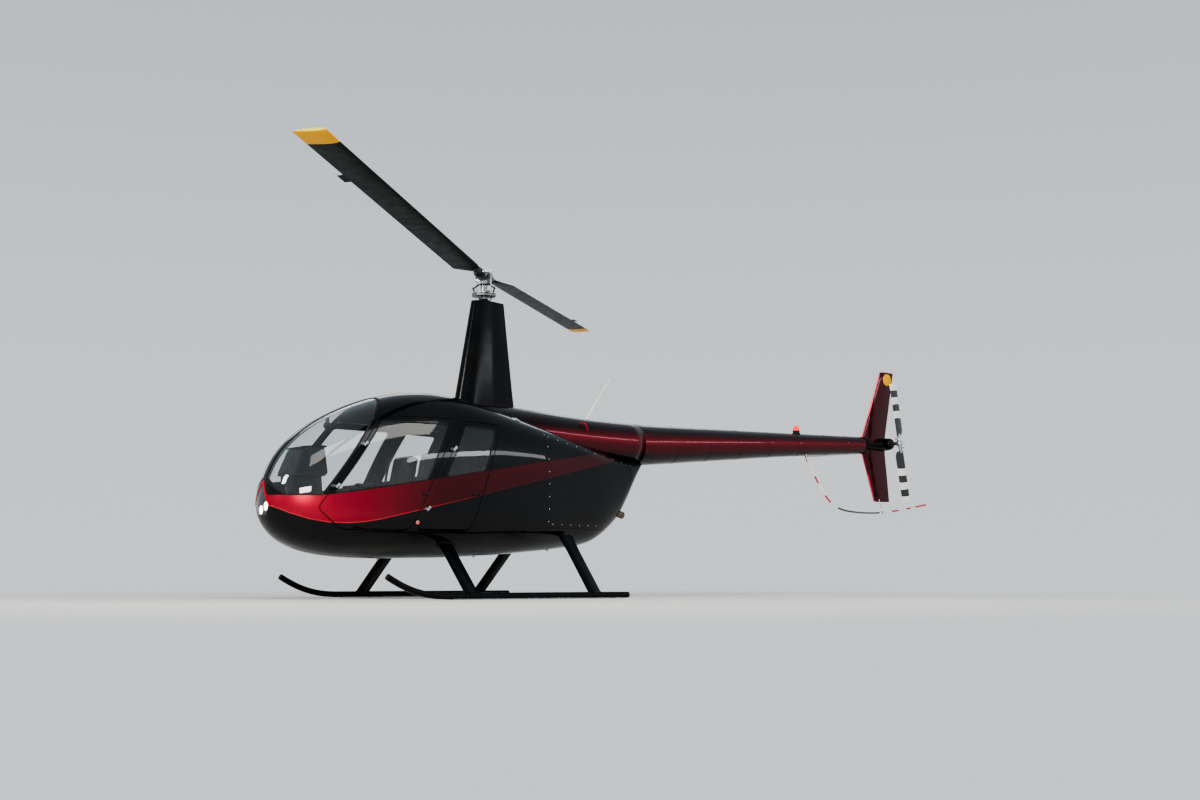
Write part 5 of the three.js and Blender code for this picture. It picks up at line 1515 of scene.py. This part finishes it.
def build_aerials():
    """White whip aerial on the fairing, a red handhold beside it, and the tail guard."""
    pipe("whip_rod", [(-1.318, 0, 1.87), (-1.33, 0, 1.905), (-1.43, 0, 2.048), (-1.53, 0, 2.19),
        (-1.63, 0, 2.328)], (0.013, 0.01, 0.008, 0.0065, 0.005), "white", sides=14, replaces="whip_aerial",
        slot="white_paint")
    base = cut(lathe([(0.03, -0.03), (0.026, 0.01), (0.016, 0.022), (0.012, 0.036)], (-1.309, 0, 1.858),
        (-0.28, 0, 1), 28), round_body(CROWN, SKIN_GAP))
    piece("whip_base", biggest(base), "white")
    hold = [(-1.1, 0.165, 1.785), (-1.105, 0.195, 1.812), (-1.125, 0.222, 1.808), (-1.145, 0.24, 1.775),
        (-1.15, 0.236, 1.735)]
    pipe("red_handhold", smooth_rows(hold, 5), 0.0065, "red", sides=12)
    path = [(-4.5, 0.07, 1.64), (-4.56, 0.12, 1.44), (-4.64, 0.185, 1.23), (-4.74, 0.235, 1.075),
            (-4.9, 0.25, 1.0), (-5.16, 0.215, 0.975), (-5.5, 0.12, 0.975), (-5.8, 0.05, 0.99),
            (-6.15, 0.05, 1.03), (-6.59, 0.06, 1.105)]
    run = smooth_rows(path, 7)[2:]
    pipe("guard_tube", run, 0.011, "guard", sides=16, replaces="tail_guard", slot="white_paint")
    clamp = join(rod((-5.8, 0.008, 1.15), (-5.8, 0.05, 1.0025), 0.008),
        lathe([(0.0115, -0.018), (0.015, -0.016), (0.015, 0.016), (0.0115, 0.018)], (-5.8, 0.05, 0.99),
        (1, 0, -0.06), 24), rod((-4.512, 0.06, 1.64), (-4.5, 0.095, 1.56), 0.016, 0.014))
    piece("guard_clamps", clamp, "anodised")


def on_rotor(shape, half):
    """A part of the main rotor drawn along +X, coned and turned to its blade's place."""
    turn = slide((0, 0, ROTOR_HEIGHT)) @ rotate("Z", ROTOR_TURN + 180 * half)
    return moved(shape, turn @ rotate("Y", -CONE))


def blade(rows, **ends):
    """A twisted blade along +X through rows of radius, lead, chord, thickness and pitch."""
    out = []
    for r, lead, chord, thick, pitch in rows:
        a = math.radians(pitch)
        along, across = (0, -math.cos(a), -math.sin(a)), (0, -math.sin(a), math.cos(a))
        out.append(((r, lead * math.cos(a), lead * math.sin(a)), chord, thick, along, across))
    return wing(out, **ends)


def build_main_rotor():
    """Blades with their trim tabs, the hub with its bolts, grips, horns and links, and the tilting rings."""
    rows = [(0.33, 0.045, 0.12, 0.044, 9), (0.425, 0.055, 0.19, 0.038, 8.7), (0.52, 0.062, 0.25, 0.034, 8.5),
            (0.56, 0.062, 0.251, 0.034, 8.4)]
    rows += [(r, 0.062 + 0.004 * s, 0.251 + 0.011 * s, 0.034 - 0.008 * s, 8.4 - 6.9 * s)
             for s in np.linspace(0.03, 0.998, 36) for r in [0.56 + (ROTOR_RADIUS - 0.565) * s]]
    shape = blade(rows, tip=0.004)
    shape = cut(shape, rod((0.15, 0, 0), (0.4204, 0, 0), 0.0466, 0.0305, 32, 0.0001))
    tab = moved(block((3.672, -0.245, -0.0016), (3.873, -0.185, 0.0016), 0.001, 1), rotate("X", 2.9 * 1.2))
    straps = [lathe([(0.0, 0.0), (0.009, 0.0), (0.009, 0.006), (0.006, 0.009), (0.0, 0.009)], (r, y, 0.008),
        (0, -0.15, 1), 12) for r, y in ((0.44, 0.02), (0.44, -0.05), (0.52, 0.02), (0.52, -0.05))]
    for half in (0, 1):
        piece(f"blade_skin_{half + 1}", on_rotor(shape, half), "blade", "main_rotor",
              f"main_blade_{half + 1}", slot="rotor_blade", angle=WING_ANGLE)
        piece(f"blade_tab_{half + 1}", on_rotor(tab, half), "blade", "main_rotor")
        piece(f"blade_root_bolts_{half + 1}", on_rotor(join(*straps), half), "steel", "main_rotor")
    turn = slide((0, 0, ROTOR_HEIGHT)) @ rotate("Z", ROTOR_TURN)
    yoke = prism([(-0.2, -0.04), (-0.11, -0.052), (0.11, -0.052), (0.2, -0.04), (0.2, 0.04), (0.11, 0.052),
        (-0.11, 0.052), (-0.2, 0.04)], -0.038, 0.038, "xy", 0.014)
    yoke = cut(yoke, block((-0.06, -0.03, 0.012), (0.06, 0.03, 0.06), 0.006),
        block((0.12, -0.03, 0.022), (0.178, 0.03, 0.06), 0.004),
        block((-0.178, -0.03, 0.022), (-0.12, 0.03, 0.06), 0.004))
    bolts = []
    for x, head, shank, *ends in ((0, 0.03, 0.022, 0.085, 0.08, 0.078),
            (-0.15, 0.02, 0.013, 0.066, 0.056, 0.054), (0.15, 0.02, 0.013, 0.066, 0.056, 0.054)):
        half = list(zip((head, head, shank), ends))
        bolts.append(lathe([(r, -y) for r, y in half] + half[::-1], (x, 0, 0), (0, 1, 0), 6))
    piece("hub_yoke", moved(yoke, turn), "darkmetal", "main_rotor", "rotor_hub", slot="satin_black",
        angle=40)
    piece("hub_bolts", moved(join(*bolts), turn), "steel", "main_rotor")
    piece("mast_stub", rod((0, 0, 3.2004), (0, 0, ROTOR_HEIGHT - 0.02), 0.034, count=32), "steel",
        "main_rotor")
    grip_profile = [(0.03, 0.186), (0.044, 0.19)]
    for r in [0.19 + 0.012 * k for k in range(7)]:
        grip_profile += [(0.046, r + 0.003), (0.0405, r + 0.009)]
    boot = lathe(grip_profile + [(0.045, 0.277), (0.03, 0.278)], (0, 0, 0), (1, 0, 0), 32)
    cuff = lathe([(0.03, 0.276), (0.04, 0.2775), (0.0415, 0.3), (0.0375, 0.33), (0.03, 0.419),
        (0.026, 0.42)], (0, 0, 0), (1, 0, 0), 32)
    horn = join(prism([(0.205, -0.01), (0.26, -0.01), (0.246, 0.142), (0.23, 0.15), (0.216, 0.142)], -0.011,
        0.011, "xy", 0.01), lathe([(0.015, -0.016), (0.015, 0.016)], (0.231, 0.132, 0), (0, 0, 1), 20))
    for label, part, look in (("boots", boot, "rubber"), ("cuffs", cuff, "darkmetal"),
            ("horns", horn, "anodised")):
        piece(f"hub_{label}", join(on_rotor(part, 0), on_rotor(part, 1)), look, "main_rotor")
    links, arms = [], []
    for half in (0, 1):
        spin = rotate("Z", ROTOR_TURN + 180 * half)
        high = on_rotor((np.array([[0.231, 0.132, -0.016]]), []), half)[0][0]
        low = np.array(spin @ Vector((0.19, 0.118, 3.102)))
        middle = (high + low) / 2
        links += [rod(low, high, 0.0065), rod(low + (high - low) * 0.34, middle + (high - middle) * 0.36,
            0.0105, count=6)]
        for end in (low, high):
            links.append(lathe([(0.006, -0.011), (0.0135, -0.006), (0.0135, 0.006), (0.006, 0.011)], end,
                (spin @ Vector((1, 0, 0))), 20))
        arm = prism([(0.07, -0.02), (0.185, 0.098), (0.205, 0.108), (0.205, 0.13), (0.18, 0.132),
            (0.06, 0.03)], 3.095, 3.109, "xy", 0.008)
        arms.append(moved(arm, spin))
    piece("pitch_links", join(*links), "anodised", "main_rotor", slot="bare_metal")
    disc = lathe([(0.044, 3.092), (0.122, 3.092), (0.125, 3.095), (0.125, 3.102), (0.118, 3.107),
        (0.06, 3.11), (0.05, 3.112), (0.044, 3.112)], count=48)
    piece("upper_tilt_ring", join(disc, *arms), "anodised", "main_rotor", slot="bare_metal")
    scissor = []
    for side in (-1, 1):
        spin = rotate("Z", ROTOR_TURN + 90 + 90 * side)
        a, b, c = (spin @ Vector(p) for p in ((0.0, 0.052, 3.195), (0.0, 0.112, 3.155), (0.0, 0.096, 3.105)))
        scissor += [rod(a, b, 0.008), rod(b, c, 0.008),
            lathe([(0.011, -0.014), (0.011, 0.014)], b, spin @ Vector((1, 0, 0)), 16)]
    collar = lathe([(0.0345, 3.186), (0.05, 3.188), (0.05, 3.2), (0.0345, 3.2)], count=32)
    piece("drive_scissors", join(*scissor, collar), "darkmetal", "main_rotor")
    lower = lathe([(0.038, 3.062), (0.11, 3.064), (0.122, 3.067), (0.125, 3.071), (0.125, 3.084),
        (0.122, 3.087), (0.038, 3.087)], count=48)
    mast = rod((0, 0, 3.018), (0, 0, 3.185), 0.033, count=36)
    rods_down = []
    for angle in (30, 150, 270):
        c, s = math.cos(math.radians(angle)), math.sin(math.radians(angle))
        rods_down.append(rod((0.092 * c, 0.092 * s, 3.07), (0.056 * c, 0.056 * s, 3.0175), 0.007))
    piece("lower_tilt_ring", join(lower, *rods_down), "cast", replaces="mast", slot="bare_metal")
    piece("mast_tube", mast, "steel", replaces="mast", slot="bare_metal")
    sock = lathe([(0.066, 3.017), (0.064, 3.024), (0.052, 3.03), (0.046, 3.04), (0.036, 3.044),
        (0.0335, 3.046), (0.0335, 3.017)], count=36)
    piece("mast_boot", sock, "rubber")


def build_tail_rotor():
    """Tail gearbox, its output shaft, the hub with its links, and two banded blades."""
    hub_x, hub_y, hub_z = TAIL_HUB
    fins = [(0.076, 0.024), (0.078, 0.028)]
    for k in range(6):
        y, crest, valley = 0.034 + 0.016 * k, 0.078 - 0.0015 * k, 0.066 - 0.0015 * k
        fins += [(crest, y), (crest, y + 0.005), (valley, y + 0.006), (valley, y + 0.014)]
    case = lathe(fins + [(0.06, 0.14), (0.052, 0.15), (0.034, 0.156)], (hub_x, 0, hub_z), (0, 1, 0), 40)
    neck = lathe([(0.038, 0.0), (0.046, 0.003), (0.046, 0.012), (0.036, 0.018), (0.037, 0.2), (0.042, 0.26),
        (0.044, 0.36)], (BOOM[0][0] - 0.0005, 0.066, 1.802), (-1, 0, 0), 32)
    shaft = rod((hub_x, 0.15, hub_z), (hub_x, hub_y - 0.0415, hub_z), 0.024, count=28)
    sight = lathe([(0.014, 0.0), (0.014, 0.006), (0.01, 0.008)], (hub_x - 0.076, 0.08, hub_z - 0.006),
        (-1, 0, -0.1), 20)
    piece("tail_gearbox_case", join(case, sight), "darkmetal", replaces="tail_gearbox", slot="bare_metal")
    # The neck's black enamel is painted shade: the neck is drawn dark for the shadow it sits in
    piece("tail_gearbox_neck", neck, "black")
    piece("tail_output_shaft", shaft, "steel")

    def on_tail(shape, half):
        spin = rotate("Y", -TAIL_TURN - 180 * half) @ rotate("X", -90)
        return moved(shape, slide(TAIL_HUB) @ spin)

    rows = [(0.095, 0.032, 0.096, 0.024, 8), (0.128, 0.035, 0.12, 0.021, 8), (0.16, 0.036, 0.13, 0.018, 8)]
    rows += [(0.16 + (TAIL_RADIUS - 0.166) * s, 0.036, 0.13, 0.018 - 0.004 * s, 8 - 5 * s)
             for s in np.linspace(0.05, 1, 14)]
    shape = cut(blade(rows, tip=0.006), rod((-0.01, 0, 0), (0.1204, 0, 0), 0.0244, 0.0184, 24, 0.0001))
    hub = [lathe([(0.03, -0.0405), (0.034, -0.036), (0.034, 0.01), (0.03, 0.014), (0.022, 0.03),
        (0.018, 0.034)], TAIL_HUB, (0, 1, 0), 32)]
    for half in (0, 1):
        piece(f"tail_blade_skin_{half + 1}", on_tail(shape, half), "banded", "tail_rotor",
              f"tail_blade_{half + 1}", slot="white_paint", angle=WING_ANGLE)
        hub.append(on_tail(lathe([(0.02, 0.0), (0.024, 0.02), (0.024, 0.05), (0.021, 0.056), (0.021, 0.07),
            (0.0185, 0.118), (0.016, 0.12)], (0, 0, 0), (1, 0, 0), 24), half))
        hub.append(on_tail(block((0.05, -0.01, -0.005), (0.072, 0.062, 0.005), 0.003), half))
        hub.append(on_tail(lathe([(0.007, -0.01), (0.007, 0.016)], (0.061, 0.055, 0), (0, 0, 1), 14), half))
    for angle in (40, 130, 220, 310):
        c, s = math.cos(math.radians(angle)), math.sin(math.radians(angle))
        hub.append(lathe([(0.0055, 0.0), (0.0055, 0.005)],
            (hub_x + 0.024 * c, hub_y + 0.012, hub_z + 0.024 * s), (0, 1, 0), 6))
    piece("tail_hub", join(*hub), "anodised", "tail_rotor", "tail_rotor_hub", slot="bare_metal")


def build_exhaust():
    """Open stainless exhaust stub under the left rear cowl."""
    start, end = Vector((-1.5, 0.17, 0.905)), Vector((-1.672, 0.17, 0.858))
    length = (end - start).length
    stub = lathe([(0.035, 0.01), (0.0375, 0.0), (0.038, length - 0.003), (0.0365, length),
        (0.0345, length - 0.002), (0.0345, 0.035)], start, (end - start).normalized(), 36)
    piece("exhaust_stub", biggest(cut(stub, fuselage(SKIN_GAP))), "sooty", replaces="exhaust",
        slot="bare_metal")


def build_fasteners():
    """Quarter-turn studs along the cowl seams, rivets on the roof deck and screws round the windscreen."""
    def both_sides(line):
        spots = [side_spot(float(x), float(z), side) for x, z in line for side in (1, -1)]
        return [spot for spot in spots if spot]

    def on_roof(line):
        spots = [on_skin((float(x), float(y), 3), (0, 0, -1)) for x, y in line]
        return [spot for spot in spots if spot]

    seam = rows_along([(-0.455, 1.64), (-0.455, 0.76)], 0.125) + rows_along([(-0.52, 0.735), (-1.2, 0.735)],
        0.15)
    seam += rows_along([(-0.5, 1.62), (-1.75, 1.395)], 0.145)
    heads("cowl_studs", both_sides(seam), "anodised", radius=0.0062, height=0.0022, sides=14)
    rim = rows_along([(2.05, 0.93), (1.478, 1.744)], 0.075)
    rim += rows_along([(2.03, 0.915), (1.7, 0.915)], 0.09)[1:]
    heads("screen_screws", both_sides([(x - 0.01, z) for x, z in rim]), "darkmetal", radius=0.0045,
        height=0.0012)
    rivets = on_roof([(-0.395, y) for y in np.linspace(-0.4, 0.4, 19)])
    edges = on_roof([(x, y) for x in np.linspace(-0.36, 1.3, 40) for y in (-0.42, 0.42)])
    rivets += [spot for spot in edges if spot[1].z > 0.5]
    heads("roof_rivets", rivets, "body", radius=0.0042, height=0.0012, sides=8)
    cap = [(0.048, -0.004), (0.048, 0.003), (0.042, 0.006), (0.012, 0.007), (0.01, 0.012), (0.004, 0.013)]
    caps = [lathe(cap, *on_skin((-0.16, y, 3), (0, 0, -1)), 36) for y in (0.36, -0.36)]
    piece("filler_caps", join(*caps), "anodised")
    drain = [(0.02, -0.002), (0.02, 0.003), (0.01, 0.005), (0.007, 0.016), (0.004, 0.018)]
    below = ((1.2, 0.0), (0.6, 0.28), (0.6, -0.28), (0.1, 0.0), (-0.7, 0.15), (-0.7, -0.15))
    drains = [lathe(drain, *on_skin((x, y, -1), (0, 0, 1)), 20) for x, y in below]
    piece("belly_drains", join(*drains), "anodised")


def build_stage():
    """Pale floor, soft studio lights, and the camera near the floor at the photograph's bearing."""
    scene, stage, horizon = bpy.context.scene, bpy.context.scene.helicopter_stage, linear("E8EBEE")
    floor = linked("studio_floor", mesh_of("studio_floor", *lathe([(60.0, -0.02), (60.0, 0.0)], count=96)))
    paper = stage_paper("background_paper", linear("DEDBD7"), horizon, stage.air_strength)
    floor.data.materials.append(paper)
    scene.world = bpy.data.worlds.new("studio_air")
    scene.world.use_nodes = True
    tree = scene.world.node_tree
    height = add_node(tree, "split axes", add_node(tree, "ShaderNodeTexCoord"))[2]
    colour = add_node(tree, "mix", add_node(tree, "range", height, 0.0, 0.6), horizon, linear("BCC7D0"))
    feed(tree, tree.nodes["Background"], {"Color": colour, "Strength": stage.air_strength})
    lights = [
        ("key_light", (2.0, 9.5, 10.5), (0.5, 0.0, 1.2), (16.0, 4.0), 1.0, (1.0, 0.97, 0.93)),
        ("nose_light", (14.0, 3.0, 7.0), (0.5, 0.0, 1.4), (2.5, 2.5), 0.9, (1.0, 0.95, 0.88)),
        ("rim_light", (-6.0, -11.0, 9.0), (-1.0, 0.0, 1.5), (14.0, 3.0), 0.2, (0.95, 0.97, 1.0)),
        ("strip_light", (-9.0, 12.0, 5.2), (-0.5, 0.0, 1.4), (11.0, 0.7), 0.2, (0.93, 0.97, 1.0)),
        ("sheen_light", (10.5, 12.0, 3.2), (1.0, 0.3, 0.9), (3.0, 1.2), 0.5, (1.0, 0.95, 0.9)),
    ]
    for name, place, target, size, share, tint in lights:
        data = bpy.data.lights.new(name, "AREA")
        data.shape, data.size, data.size_y = "RECTANGLE", *size
        data.energy, data.color = stage.key_power * share, tint
        item = linked(name, data)
        item.visible_camera = item.visible_transmission = False
        aim_at(item, place, target)
    data = bpy.data.cameras.new("camera")
    data.sensor_width, data.lens = 36.0, stage.lens
    data.clip_start, data.clip_end = 0.05, 300
    scene.camera = linked("camera", data)
    bearing, reach = math.radians(stage.bearing), stage.distance
    place = (math.cos(bearing) * reach, math.sin(bearing) * reach, stage.eye_height)
    aim_at(scene.camera, place, (stage.aim_x, 0, stage.aim_height))
    scene.view_settings.look = "AgX - Medium High Contrast"


def aim_at(item, place, target):
    """Puts a light or camera at a place and turns it to a target."""
    item.location = TO_FRAME @ Vector(place)
    item.rotation_euler = (Vector(target) - Vector(place)).to_track_quat("-Z", "Y").to_euler()


# Paint colours: label, where each goes, sRGB code
COLOURS = {
    "black": ("Body Black", "Main body colour", "050608"),
    "band": ("Band Red", "Candy red at the nose", "A61A30"),
    "flake": ("Flake", "Metal flake in the red", "E0405A"),
    "pinstripe": ("Pinstripe", "Line under the band", "C4303C"),
    "maroon": ("Maroon", "Boom and the band's rear", "3E0911"),
    # Painted highlight: the colour of the lit line along the boom's side
    "strip": ("Boom Strip", "Lit line along the boom's side", "5E101C"),
    "fin": ("Fin Maroon", "Fins and stabiliser", "2E070F"),
    # Painted highlight: the colour of the fins' leading edges
    "edge": ("Fin Edge", "Leading edges of the fins", "DC3550"),
    "blade": ("Blade Black", "Rotor blades", "0B0C0D"),
    "tip": ("Blade Tip", "Amber blade tips", "E0A020"),
    "white": ("White", "White bands and aerial", "E6E4DC"),
}
COLOUR_KIND = {"subtype": "COLOR", "size": 4, "min": 0, "max": 1}
# Camera and lights: label, what each sets, kind of measure, default
STAGE = {
    "bearing": ("Bearing", "Camera degrees from the nose toward the left", "NONE", 56.8),
    "distance": ("Distance", "Camera from the mast, along the floor", "DISTANCE", 16.6),
    "eye_height": ("Eye Height", "Camera over the floor", "DISTANCE", 0.22),
    "aim_x": ("Aim Ahead", "Aimed-at point ahead of the mast", "DISTANCE", -1.5),
    "aim_height": ("Aim Height", "Aimed-at point over the floor", "DISTANCE", 2.1),
    "lens": ("Lens", "Focal length in millimetres", "NONE", 49.0),
    "key_power": ("Key Power", "Power of the main light", "POWER", 1100.0),
    "air_strength": ("Air Strength", "Brightness of the surroundings", "NONE", 0.9),
}


class HELICOPTER_PG_paint(bpy.types.PropertyGroup):
    """Paint colours."""
    __annotations__ = {
        key: FloatVectorProperty(name=name, description=text, default=linear(code), **COLOUR_KIND)
        for key, (name, text, code) in COLOURS.items()}


class HELICOPTER_PG_stage(bpy.types.PropertyGroup):
    """Camera and lights."""
    __annotations__ = {key: FloatProperty(name=name, description=text, subtype=unit, default=value)
        for key, (name, text, unit, value) in STAGE.items()}


def operator(name, label, text, work):
    """One operator that builds a group of pieces."""
    def execute(self, context):
        work()
        return {"FINISHED"}

    return type(f"HELICOPTER_OT_{name}", (bpy.types.Operator,), {
        "bl_idname": f"helicopter.{name}", "bl_label": label, "__doc__": text, "execute": execute})


OPERATORS = [operator(*group) for group in (
    ("finishes", "Finishes", "Makes every paint, metal, glass and trim material", make_materials),
    ("stage", "Studio Stage", "Sets the floor, lights and camera", build_stage),
    ("skins", "Cabin Skins", "Builds the tub, nose and roof", build_skins),
    ("glazing", "Windscreen", "Builds the windscreen and its beads", build_glazing),
    ("doors", "Doors", "Builds the four doors", build_doors),
    ("cowls", "Cowls", "Builds the engine cowls and fairing", build_cowls),
    ("mast_fairing", "Mast Fairing", "Builds the fairing round the mast", build_mast_fairing),
    ("boom", "Tail Boom", "Builds the boom and its rivets", build_boom),
    ("fins", "Fins", "Builds the fins and stabiliser", build_fins),
    ("gear", "Landing Gear", "Builds the skids and struts", build_gear),
    ("seats", "Seats", "Builds the padded seats and harnesses", build_seats),
    ("console", "Console", "Builds the instrument pedestal", build_console),
    ("controls", "Controls", "Builds the stick, levers and pedals", build_controls),
    ("lamps", "Lamps", "Builds the landing lamps and lights", build_lamps),
    ("aerials", "Aerials", "Builds the aerial, handhold and guard", build_aerials),
    ("main_rotor", "Main Rotor", "Builds the blades and rotor head", build_main_rotor),
    ("tail_rotor", "Tail Rotor", "Builds the tail gearbox and rotor", build_tail_rotor),
    ("exhaust", "Exhaust", "Builds the exhaust stub", build_exhaust),
    ("fasteners", "Fasteners", "Builds studs, screws, caps and drains", build_fasteners),
)]


class HELICOPTER_PT_panel(bpy.types.Panel):
    """Lists the groups of pieces"""
    bl_label = "Helicopter"
    bl_idname = "HELICOPTER_PT_panel"
    bl_space_type = "VIEW_3D"
    bl_region_type = "UI"
    bl_category = "Helicopter"

    def draw(self, context):
        for settings in (context.scene.helicopter_paint, context.scene.helicopter_stage):
            for name in settings.__annotations__:
                self.layout.prop(settings, name)
        for item in OPERATORS:
            self.layout.operator(item.bl_idname)


CLASSES = [HELICOPTER_PG_paint, HELICOPTER_PG_stage, *OPERATORS, HELICOPTER_PT_panel]


def register():
    """Adds the classes and the scene's settings."""
    for item in CLASSES:
        bpy.utils.register_class(item)
    bpy.types.Scene.helicopter_paint = PointerProperty(type=HELICOPTER_PG_paint)
    bpy.types.Scene.helicopter_stage = PointerProperty(type=HELICOPTER_PG_stage)


def unregister():
    """Takes the classes and settings away again."""
    del bpy.types.Scene.helicopter_paint
    del bpy.types.Scene.helicopter_stage
    for item in reversed(CLASSES):
        bpy.utils.unregister_class(item)


def main():
    """Builds every group in order and writes the sizes."""
    register()
    for item in OPERATORS:
        group, name = item.bl_idname.split(".")
        getattr(getattr(bpy.ops, group), name)()


if __name__ == "__main__":
    main()
